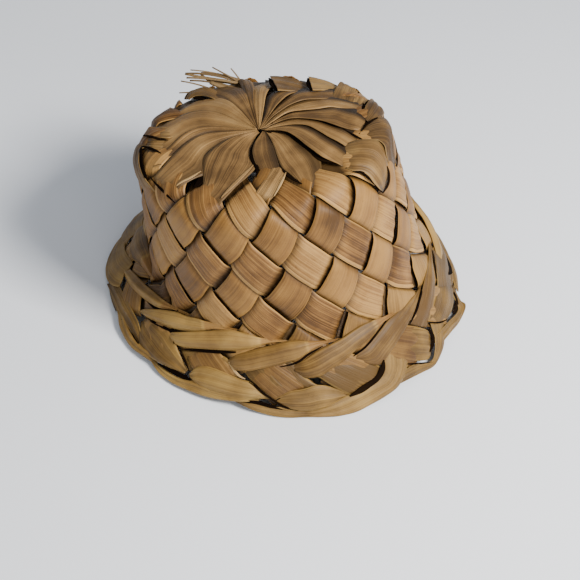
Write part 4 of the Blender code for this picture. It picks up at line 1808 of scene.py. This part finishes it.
# The folded twists in front, from the left to the right.
TWIST_LEAVES: tuple[Leaf, ...] = (
    Leaf(0.45, 0, (
        (-90.8, 224.9, -91, 217.6, 1.6, 0), (-85.1, 217.6, -86.2, 208.8, 2.6, 0),
        (-80.1, 213.2, -81.5, 202.5, 3, 0), (-76.2, 209.6, -76.9, 197.5, 3.4, 0),
        (-72.2, 206, -72.6, 193.9, 3.6, 0), (-68, 202.5, -69, 190.9, 3.7, 0),
        (-63.6, 199, -64.6, 188.2, 3.7, 0), (-59.2, 195.1, -59.6, 186.2, 3.6, 0),
        (-54.1, 188.4, -54.4, 184.4, 2.8, 0), (-47.9, 184.3, -48, 181.9, 2, 0),
        (-40.9, 181.2, -41.1, 180.4, 0.8, 0),
    )),
    Leaf(0.45, 0, (
        (-65.5, 214.5, -66.9, 215.3, 1.2, 0), (-60.7, 210.4, -64.6, 207.6, 2.8, 0),
        (-54.6, 204.3, -60.4, 198.8, 3.5, 0), (-48.8, 200.2, -55.7, 191.3, 3.8, 0),
        (-44.1, 196, -50.6, 185.6, 3.9, 0), (-40.4, 192.6, -45.6, 182.5, 3.9, 0),
        (-37.3, 189.3, -41, 177.6, 3.9, 0), (-35.5, 187.2, -37.5, 176.2, 3.7, 0),
        (-31.1, 182.4, -32.5, 175.5, 2.8, 0), (-25, 178.8, -25.6, 176.5, 2, 0),
        (-18.4, 178.1, -18.3, 177.1, 0.8, 0),
    )),
    Leaf(0.45, 0, (
        (-48.5, 209.1, -50, 206, 1.2, 0), (-43.9, 210.5, -46, 200.2, 2.8, 0),
        (-39.2, 207.2, -41.3, 193.6, 3.5, 0), (-34, 202.4, -36.3, 187.9, 3.8, 0),
        (-28.4, 198.4, -30.9, 181.6, 3.9, 0), (-22.9, 195.2, -24.7, 176.1, 3.9, 0),
        (-17.1, 191.7, -18.5, 176.9, 3.9, 0), (-12.8, 187.8, -13.6, 179.7, 3.7, 0),
        (-9.5, 185.9, -10.1, 181.1, 2.8, 0), (-6.2, 184.8, -6.2, 182.7, 2, 0),
        (-2.3, 185, -2.3, 184.2, 0.8, 0),
    )),
    Leaf(0.45, 0, (
        (-22.9, 207.3, -24.3, 204.7, 1.2, 0), (-20.2, 210.3, -21.3, 197.5, 2.8, 0),
        (-16.3, 209.4, -17.4, 193.1, 3.5, 0), (-12, 205.8, -13.1, 189.4, 3.8, 0),
        (-7.6, 202.6, -8.3, 186.2, 3.9, 0), (-3.1, 200, -3.8, 183.9, 3.9, 0),
        (1.5, 197.4, 0.8, 183.1, 3.9, 0), (5.3, 193, 4.6, 184.6, 3.7, 0), (8.9, 190.3, 8.4, 186, 2.8, 0),
        (13.3, 189.4, 13.1, 187.5, 2, 0), (18.7, 190.4, 18.9, 189.4, 0.8, 0),
    )),
    Leaf(0.38, 0, (
        (0.4, 208.8, -1, 203.3, 1.2, 0), (3.6, 212.6, 3.3, 198.9, 2.8, 0),
        (8.3, 212.4, 7.5, 193.7, 3.5, 0), (12.7, 208.4, 12.2, 190.6, 3.8, 0),
        (17.7, 204.6, 17.5, 188.4, 3.9, 0), (22.5, 200.2, 22.3, 186.2, 3.9, 0),
        (27.4, 197.5, 27.4, 184.7, 3.9, 0), (32.7, 193.9, 32.6, 185.4, 3.7, 0),
        (36.9, 192, 37, 187.5, 2.8, 0), (42.2, 192.3, 41.8, 189.6, 2, 0),
        (47.5, 193.4, 47.8, 192.6, 0.8, 0),
    )),
)
# The twists that lie flat at the front right.
FLAT_TWISTS: tuple[Leaf, ...] = (
    Leaf(0.12, 0.45, (
        (23.5, 210.4, 20.9, 205.6, 1, 0), (27.6, 215.7, 23.3, 203.2, 2.2, 0),
        (30.8, 217.7, 26.4, 200.8, 2.8, 0), (33.9, 214.5, 29.8, 198.3, 3, 0),
        (38.5, 210, 34, 195.2, 3.2, 0), (43.8, 205.9, 38.8, 192.3, 3.2, 0),
        (48.4, 202.9, 44.2, 191.6, 3, 0), (53.4, 199.6, 50.3, 191.4, 2.8, 0),
        (58.7, 197, 56.4, 192.9, 2.2, 0), (63.7, 194.7, 61.6, 194.3, 1.2, 0),
    )),
    Leaf(0.12, 0.45, (
        (54.9, 218.9, 47.7, 205.4, 1, 0), (60.3, 213.4, 52.6, 201.9, 2.6, 0),
        (65.6, 209.7, 57.4, 198.6, 3, 0), (70.8, 205.6, 62.8, 195.2, 3.2, 0),
        (75.4, 201.2, 69.2, 192.7, 3.2, 0), (80.2, 197.9, 77.9, 192.8, 3, 0),
        (88.4, 199.1, 87, 194.6, 2.4, 0), (98.5, 204.5, 97.2, 199.6, 1.2, 0),
    )),
)
# The leaves of the brim in front: its large cells and the leaves turned back along its edge.
EDGE_LEAVES: tuple[Leaf, ...] = (
    Leaf(0.08, 0, (
        (-63.1, 221.5, -62.1, 212.6, 0.6, 0), (-59.1, 231.3, -56, 206.5, 2, 0),
        (-54.8, 235.9, -49.4, 204.2, 2.4, 0), (-49.4, 234.6, -45.4, 210.6, 2.6, 0),
        (-43.2, 231.9, -40.5, 217.8, 2.6, 0), (-37.2, 230, -36.5, 225.2, 1.6, 0),
    )),
    Leaf(0.06, 0.5, (
        (-36.2, 225.9, -42.3, 212.4, 0.8, 0), (-32.8, 219.1, -37, 206.8, 1.2, 0),
        (-27.1, 216.3, -30.5, 202.3, 1.4, 0), (-21.9, 217.6, -24.5, 203.1, 1.4, 0),
        (-18.1, 218, -20, 211.5, 1, 0),
    )),
    Leaf(0.14, 0, (
        (-34.8, 230.6, -35.6, 227.9, 1.6, 0), (-32, 232.6, -34.5, 220.7, 2.8, 0),
        (-27.7, 233.2, -31.4, 215.4, 3.2, 0), (-23, 232.5, -27, 214.1, 3.2, 0),
        (-18.6, 231.9, -22.6, 215.1, 3, 0), (-14.3, 230.5, -18.3, 216.9, 2.6, 0),
        (-10.5, 230, -15, 217.9, 2, 0), (-8.1, 229.7, -11.8, 223.6, 0.8, 0),
    )),
    Leaf(0.06, 0.7, (
        (-18, 209.8, -3.4, 197.2, 0.6, 0), (-15.9, 214.4, 0.5, 201.9, 1.4, 0),
        (-12.6, 219.5, 2.4, 209.7, 1.8, 0), (-9.5, 224.2, 4.3, 214.6, 1.8, 0),
        (-6.2, 230.1, 7.5, 219.5, 1, 0),
    )),
    Leaf(0.14, 0, (
        (-6.5, 231.5, -7.1, 230.1, 1.6, 0), (-3.7, 233.9, -5, 226.1, 2.8, 0),
        (-0.4, 236.7, -1.8, 222.3, 3.2, 0), (3.8, 237.8, 2.4, 220.7, 3.2, 0),
        (7.8, 237.3, 6.7, 218.6, 3, 0), (12, 235.9, 10.6, 220.8, 2.6, 0),
        (15.5, 233.2, 14.4, 226.1, 2, 0), (18, 234.3, 17.6, 231, 0.8, 0),
    )),
    Leaf(0.08, 1.35, (
        (5.9, 210.9, 18.6, 199.8, 0.4, 0), (9, 215.2, 21.6, 205.1, 1.8, 0),
        (12.3, 221.6, 25.4, 210.8, 2.4, 0), (15.5, 227.7, 29, 216.9, 2.4, 0),
        (18.5, 233.5, 31.5, 222.6, 1.8, 0), (20.7, 239.6, 34, 229.5, -0.2, 0),
    )),
    Leaf(0.1, 0.4, (
        (33.6, 210, 41.1, 219.8, 1.2, 0), (31.8, 217.2, 40.7, 227.2, 2.4, 0),
        (30.6, 222.9, 37.6, 233.7, 3, 0), (28, 227, 33.6, 238.6, 3.2, 0),
        (23.3, 228.1, 28.2, 240.9, 3.2, 0), (19.3, 229.7, 23.1, 242.6, 3.2, 0),
        (15.1, 231.5, 17.6, 245.3, 3, 0), (10.8, 234.6, 12.3, 245.3, 2.6, 0),
        (6, 237.6, 6.4, 243.8, 2, 0), (1.2, 238.9, 1.1, 244, 0.6, 0),
    )),
    Leaf(0.06, 0.5, (
        (33.4, 214.5, 45, 202.8, 0.8, 0), (37.3, 222.4, 48.5, 208.8, 1.8, 0),
        (42.8, 229.1, 52.1, 214.6, 2.2, 0), (48.4, 236.2, 54.5, 220.8, 2.2, 0),
        (51.3, 236.6, 55.3, 228.1, 1.2, 0),
    )),
    Leaf(0.1, 0.4, (
        (58, 219.3, 66.8, 232.1, 1, 0), (55.6, 228.6, 61.3, 235.9, 2.5, 0),
        (52.9, 236.4, 56.7, 241.1, 2.8, 0), (49.5, 238.8, 50.8, 244.2, 2.8, 0),
        (42.9, 231.7, 45.1, 241.3, 2.6, 0), (38.4, 230.8, 39, 238.8, 2.4, 0),
        (35.3, 233, 35.1, 238.4, 1.4, 0),
    )),
    Leaf(0.08, 0.4, (
        (73.9, 211.5, 85.6, 233.4, 0.8, 0), (67, 210.9, 80.5, 232.5, 2.4, 0),
        (61.9, 212.4, 75.5, 233.2, 2.6, 0), (58.3, 214.6, 70.1, 232.8, 2.2, 0),
        (56.5, 217, 65.7, 231.9, 1, 0),
    )),
    Leaf(0.08, 0.4, (
        (88.4, 199.5, 109, 243.8, 1, 0), (82, 199.8, 99.6, 235.8, 2.4, 0),
        (78.1, 203, 91.9, 230.5, 2.6, 0), (75.3, 207.6, 85.5, 228.4, 2.4, 0),
        (72.3, 211.7, 84.2, 233.7, 1.2, 0),
    )),
    Leaf(0.12, 0.3, (
        (81.7, 230.3, 85.9, 236.5, 1, 0), (77.9, 236.2, 81.7, 242.6, 2.5, 0),
        (76, 240.6, 80, 249.9, 3, 0), (69.3, 235.3, 75.1, 247.8, 3, 0),
        (62.9, 230.6, 66.3, 240.9, 2.8, 0), (57.6, 229.3, 60.3, 237.7, 2.4, 0),
        (55.1, 232.2, 57, 238.2, 1.2, 0),
    )),
    Leaf(0.12, 0, (
        (-81.7, 240.1, -78.5, 231.7, 1, 0), (-73.9, 237.4, -69.8, 230.7, 2, 0),
        (-67.5, 241, -62.7, 233.1, 2.6, 0), (-59.9, 242.4, -56.4, 233.8, 2.8, 0),
        (-54, 239.8, -51.7, 231.6, 2.6, 0), (-49.9, 238.9, -47.9, 231.8, 1, 0),
    )),
    Leaf(0.12, 0, (
        (-88.8, 245.2, -85.4, 229.2, 1.5, 0), (-80.6, 237, -77.6, 223, 2.4, 0),
        (-73.1, 234, -70, 220.2, 2.8, 0), (-65.4, 232.2, -63.1, 221.1, 2.8, 0),
        (-60.1, 233.7, -58.8, 227.1, 2, 0), (-57.2, 236.4, -57, 232.2, 0.8, 0),
    )),
    Leaf(0.1, 0, (
        (-50.6, 238.2, -49.6, 234.9, 0.8, 0), (-44.8, 242, -43.6, 235.7, 1.6, 0),
        (-38.6, 242.1, -37.9, 234.7, 2, 0), (-32.5, 240.8, -32.8, 230.9, 2, 0),
        (-26.5, 239.4, -26.4, 230.5, 2, 0), (-20.3, 236.7, -20.1, 229.8, 2, 0),
        (-15.4, 234.6, -14.4, 229.2, 1.6, 0), (-11.8, 232.6, -10.6, 229.8, 0.4, 0),
    )),
    Leaf(0.1, 0, (
        (-19.2, 236.4, -17.5, 233.7, 0.4, 0), (-14.6, 239.2, -13, 233.5, 1.4, 0),
        (-8.4, 242.3, -7.4, 234.1, 1.6, 0), (-1.9, 243.6, -1.6, 236.5, 1.6, 0),
        (4.1, 243.2, 4.2, 237.8, 1.4, 0), (9.5, 244.9, 9.8, 240.3, 0.6, 0),
    )),
)
# Pale folded hems on the fan and the brim.
HEM_TRAILS: tuple[Trail, ...] = (
    Trail(3.6, 1.3, ((-9.1, 41.3), (-15.2, 51.4), (-19.6, 62.6), (-22.5, 73.7))),
    Trail(3, 0.9, ((-45.1, 57.5), (-46.1, 64.8), (-47.5, 71.4), (-48.4, 76.1))),
    Trail(3.4, 0.9, ((15.9, 52.2), (9.8, 61.1), (4.2, 71.6))),
    Trail(2.2, 0.9, ((-23.8, 204.2), (-21.9, 208.9), (-19.3, 214.1), (-16.7, 216.2))),
)
# Painted shade: near-black strips laid where the gaps between the leaves of the crown's top lie in shadow.
CROWN_GAPS: tuple[Trail, ...] = (
    Trail(3.6, 2, ((114.7, 31.5), (110.4, 39.9), (108.3, 49.4), (103.3, 56.4))),
    Trail(3.2, 2.1, ((95.3, 35.5), (88.9, 41.8), (83.1, 49.8), (79.6, 58))),
    Trail(3.2, 1.6, ((85, 24.3), (82.8, 32.4), (73.1, 41.3), (66.6, 51), (62.4, 60.9))),
    Trail(2.8, 2.2, ((31, 7.2), (63.5, 17.8), (53.3, 29.7), (47.4, 41.2), (44.3, 53.5), (45.7, 60.7))),
    Trail(2.6, 2.1, ((149.6, 32.4), (147.4, 38.3), (144.6, 46.4))),
    Trail(2.6, 2.2, ((170.5, 33.6), (167, 37.3), (160.3, 41.3))),
    Trail(3, 1.2, ((-11.5, 13.2), (-14.9, 23.8), (-11.5, 34.8), (-5.4, 43.6), (-5.7, 52.3))),
    Trail(2.9, 1.3, ((14.9, 40.6), (14.7, 49.4), (17.7, 58.5), (20.9, 66.4))),
    Trail(1.8, 2.8, ((-44.3, 57.7), (-40.5, 64.3), (-40.3, 70.7))),
    Trail(3.2, 0.5, ((21.9, 19.1), (17.2, 30.8), (14.3, 42))),
    Trail(3, 0.6, ((109.5, 7.3), (122.5, 20.9), (116.1, 31.1))),
    Trail(3, 0.6, ((20.5, 3.4), (134.5, 12.1), (136.3, 21.8))),
    Trail(3, 1.2, ((130.6, 37.4), (126.8, 45.8), (120.4, 56.9))),
    Trail(5.2, 2.3, ((173.1, 65), (167.6, 49.2), (160.1, 38.9))),
    Trail(5.2, 2.3, ((149.8, 70.5), (143.8, 60.6), (135.4, 51.6))),
    Trail(4.8, 0.4, ((127, 81.9), (126, 82.9), (123, 82.9))),
    Trail(3, 1.2, ((107.6, 74.5), (102.3, 72.9), (97.5, 69.6))),
    Trail(4.2, 1, ((46.9, 76.9), (50.1, 80.4), (51.2, 85.7), (53.3, 92.9), (55.5, 100))),
    Trail(4.2, 1.7, ((55.5, 100), (61.4, 98.8), (63.9, 94.3), (64.7, 89.4))),
    Trail(2.8, 2.6, ((97, 91.1), (92, 97.9), (84.5, 102.8), (77.2, 104.2))),
    Trail(3.4, 0.9, ((79.2, 56), (74.1, 64.1), (71.6, 70.1))),
    Trail(3.4, 0.8, ((75.6, 67.1), (83.1, 70.4), (88.3, 74.6), (95.9, 82.4))),
    Trail(3.8, 2.7, ((-86.8, 80.4), (-80.5, 82.6), (-72.9, 84.2), (-66.3, 83.9))),
    Trail(3.6, 1.1, ((-97.1, 80.5), (-89.4, 71.4), (-85.3, 62.7))),
    Trail(3.6, 1, ((-87.5, 80.2), (-81.3, 74.3), (-75, 69.6))),
    Trail(2.8, 0.9, ((-65.6, 82.4), (-54.3, 82.6), (-44.5, 84.6))),
    Trail(3.2, 3.3, ((-142.8, 74.8), (-139.3, 66.3), (-138.5, 57.8))),
)
# Painted shade: near-black strips laid where the gaps between the leaves of the brim lie in shadow.
BRIM_GAPS: tuple[Trail, ...] = (
    Trail(3.2, 1.1, ((-74.8, 203.9), (-66, 200.2), (-59.4, 196.7), (-50.9, 184.3))),
    Trail(3, 0.8, ((-59.1, 210.6), (-51.6, 205.1), (-44.5, 198.1), (-36.3, 189.3))),
    Trail(3, 1, ((-42.1, 211.6), (-34.7, 204.6), (-26.6, 199), (-18.9, 194.7))),
    Trail(2.8, 0.9, ((-41.9, 212.8), (-38.5, 219), (-35.5, 225.6))),
    Trail(2.2, 1.6, ((-47, 235), (-41.4, 233), (-36.7, 232.1), (-34.1, 231.6))),
    Trail(3, 0.7, ((-18.5, 194.5), (-13.1, 190), (-6.9, 185.7))),
    Trail(3, 0.8, ((-5.2, 203.4), (0.8, 200.3), (5.3, 194.7), (10.8, 190.6))),
    Trail(3.7, 2.3, (
        (31.6, 215.1), (30.2, 220.8), (27.7, 225.1), (24.4, 227.3), (21, 229.3), (17, 231.3),
    )),
    Trail(3, 0.9, ((21.4, 203.9), (26.8, 200.7), (32, 196.4), (38, 191.5))),
    Trail(2.8, 0.7, ((-15.2, 217.8), (-11, 223.9), (-6.8, 230), (-3.4, 234.6), (0.5, 237.3))),
    Trail(2.8, 0.7, ((-6.2, 229.9), (-2.5, 224.4), (1.7, 222.3), (8, 219.4))),
    Trail(1.8, 1.3, ((-17.3, 234.8), (-12.3, 233.5), (-7.3, 235.2), (-2.5, 237.3))),
    Trail(3, 2.3, ((55, 219.8), (54.8, 228.2), (50.7, 232.9))),
    Trail(2.8, 1.2, ((-69.8, 235.4), (-62.7, 234.4), (-57.2, 234.3))),
    Trail(3, 6.4, ((98.6, 231.1), (93.8, 231.9), (85, 221.9))),
    Trail(3, 3.7, ((80.6, 232.9), (78.2, 239.1), (71.5, 234.9))),
    Trail(3.2, 1.2, ((47.6, 205), (53.9, 201.2), (59.1, 197.6), (64.2, 194.9))),
    Trail(3, 0.7, ((39.8, 227.6), (44, 232.7), (49.7, 239.8))),
    Trail(3, 2.3, ((85.7, 197.7), (80.2, 201.9), (74.3, 206.9))),
    Trail(2.6, 0.7, ((56.4, 215.9), (62, 225.7), (66.4, 231))),
    Trail(2.6, 0.9, ((18.9, 203.1), (12.6, 206.9), (7, 212))),
    Trail(2.6, 0.8, ((-61.2, 211.3), (-54.5, 206.2), (-48.7, 204.2), (-45.2, 211.4))),
    Trail(3, 0.6, ((3.2, 192.7), (6.2, 191.2), (9.7, 189.4))),
)


class Finish(Enum):
    """The finishes of the hat."""

    WALL_RIGHT = LeafFinish(
        "wall_right_leaf", (0.070, 0.029, 0.005), (0.196, 0.091, 0.022), (0.350, 0.190, 0.055),
        vein_depth=0.55, vein_mix=0.46, margin=0.6, hem=0.6,
    )
    WALL_LEFT = LeafFinish(
        "wall_left_leaf", (0.066, 0.029, 0.005), (0.174, 0.081, 0.017), (0.290, 0.149, 0.036),
        vein_depth=0.26, vein_mix=0.24, margin=0.35,
    )
    # The leaf's own colours, darkened as painted shade because the brim's plait lies mostly under the
    # twists and the edge leaves.
    BRIM = LeafFinish(
        "brim_leaf", (0.067, 0.029, 0.006), (0.164, 0.083, 0.019), (0.286, 0.157, 0.042),
        vein_depth=0.40, vein_mix=0.30, margin=0.4,
    )
    FAN = LeafFinish(
        "fan_leaf", (0.084, 0.043, 0.013), (0.230, 0.126, 0.041), (0.380, 0.230, 0.086),
        vein_depth=0.50, vein_mix=0.27, margin=0.12, side_shadow=True,
    )
    LOOPS = LeafFinish(
        "loop_leaf", (0.058, 0.030, 0.009), (0.155, 0.084, 0.025), (0.272, 0.162, 0.053),
        vein_depth=0.45, vein_mix=0.36, margin=0.4,
    )
    TWIST = LeafFinish(
        "twist_leaf", (0.086, 0.042, 0.008), (0.206, 0.113, 0.028), (0.350, 0.212, 0.058),
        vein_depth=0.32, vein_mix=0.24, margin=0.15, knuckle=0.70,
    )
    EDGE = LeafFinish(
        "edge_leaf", (0.084, 0.043, 0.008), (0.202, 0.113, 0.027), (0.344, 0.215, 0.060),
        vein_depth=0.4, vein_mix=0.24, margin=0.35,
    )
    HEM = LeafFinish(
        "pale_hem", (0.22, 0.125, 0.045), (0.40, 0.25, 0.10), (0.55, 0.37, 0.17),
        vein_depth=0.3, vein_mix=0.3, margin=0.1,
    )
    # Near-black strips of painted shade, for the gaps between leaves where only shadow shows.
    GAP_SHADE = LeafFinish(
        "painted_gap_shade", (0.003, 0.0015, 0.001), (0.006, 0.003, 0.0015), (0.010, 0.005, 0.002),
        vein_depth=0.2, vein_mix=0.2, margin=0.0, roughness=0.9, gloss=0.02,
    )
    FRAYED = LeafFinish(
        "frayed_leaf", (0.060, 0.036, 0.014), (0.140, 0.084, 0.032), (0.235, 0.150, 0.062),
        vein_depth=0.3, vein_mix=0.3, margin=0.2,
    )


def main() -> None:
    """Builds and dresses the hat, then the studio."""
    logging.basicConfig(level=logging.INFO, format="%(message)s")
    sweep = LeafSweep()
    look = {finish: finish.value.material() for finish in Finish}
    pieces = CrownWall(sweep).build(look[Finish.WALL_RIGHT], look[Finish.WALL_LEFT])
    pieces += Brim(sweep).build(look[Finish.BRIM], look[Finish.BRIM])
    fan, brim = ("fan_leaf", ("crown_fan",)), ("brim_leaf", ("brim_weave",))
    for part, finish in (
        (FanTop(sweep), Finish.FAN),
        (ShoulderFolds(sweep), Finish.LOOPS),
        (TwistBand(sweep), Finish.TWIST),
        (EdgeLeaves(sweep), Finish.EDGE),
        (EdgeRolls(sweep), Finish.EDGE),
        (FrayedEnds(sweep), Finish.FRAYED),
        (SmallLeaves(sweep, "fan_hems", *fan, trails=HEM_TRAILS), Finish.HEM),
        (SmallLeaves(sweep, "crown_gap_shade", *fan, trails=CROWN_GAPS), Finish.GAP_SHADE),
        (SmallLeaves(sweep, "brim_gap_shade", *brim, trails=BRIM_GAPS), Finish.GAP_SHADE),
    ):
        pieces.append(part.build(look[finish]))
    for piece in pieces:
        LOG.info("%s: %d faces", piece.name, len(piece.data.polygons))
    studio = Studio()
    studio.floor()
    studio.light()
    studio.camera()


if __name__ == "__main__":
    main()
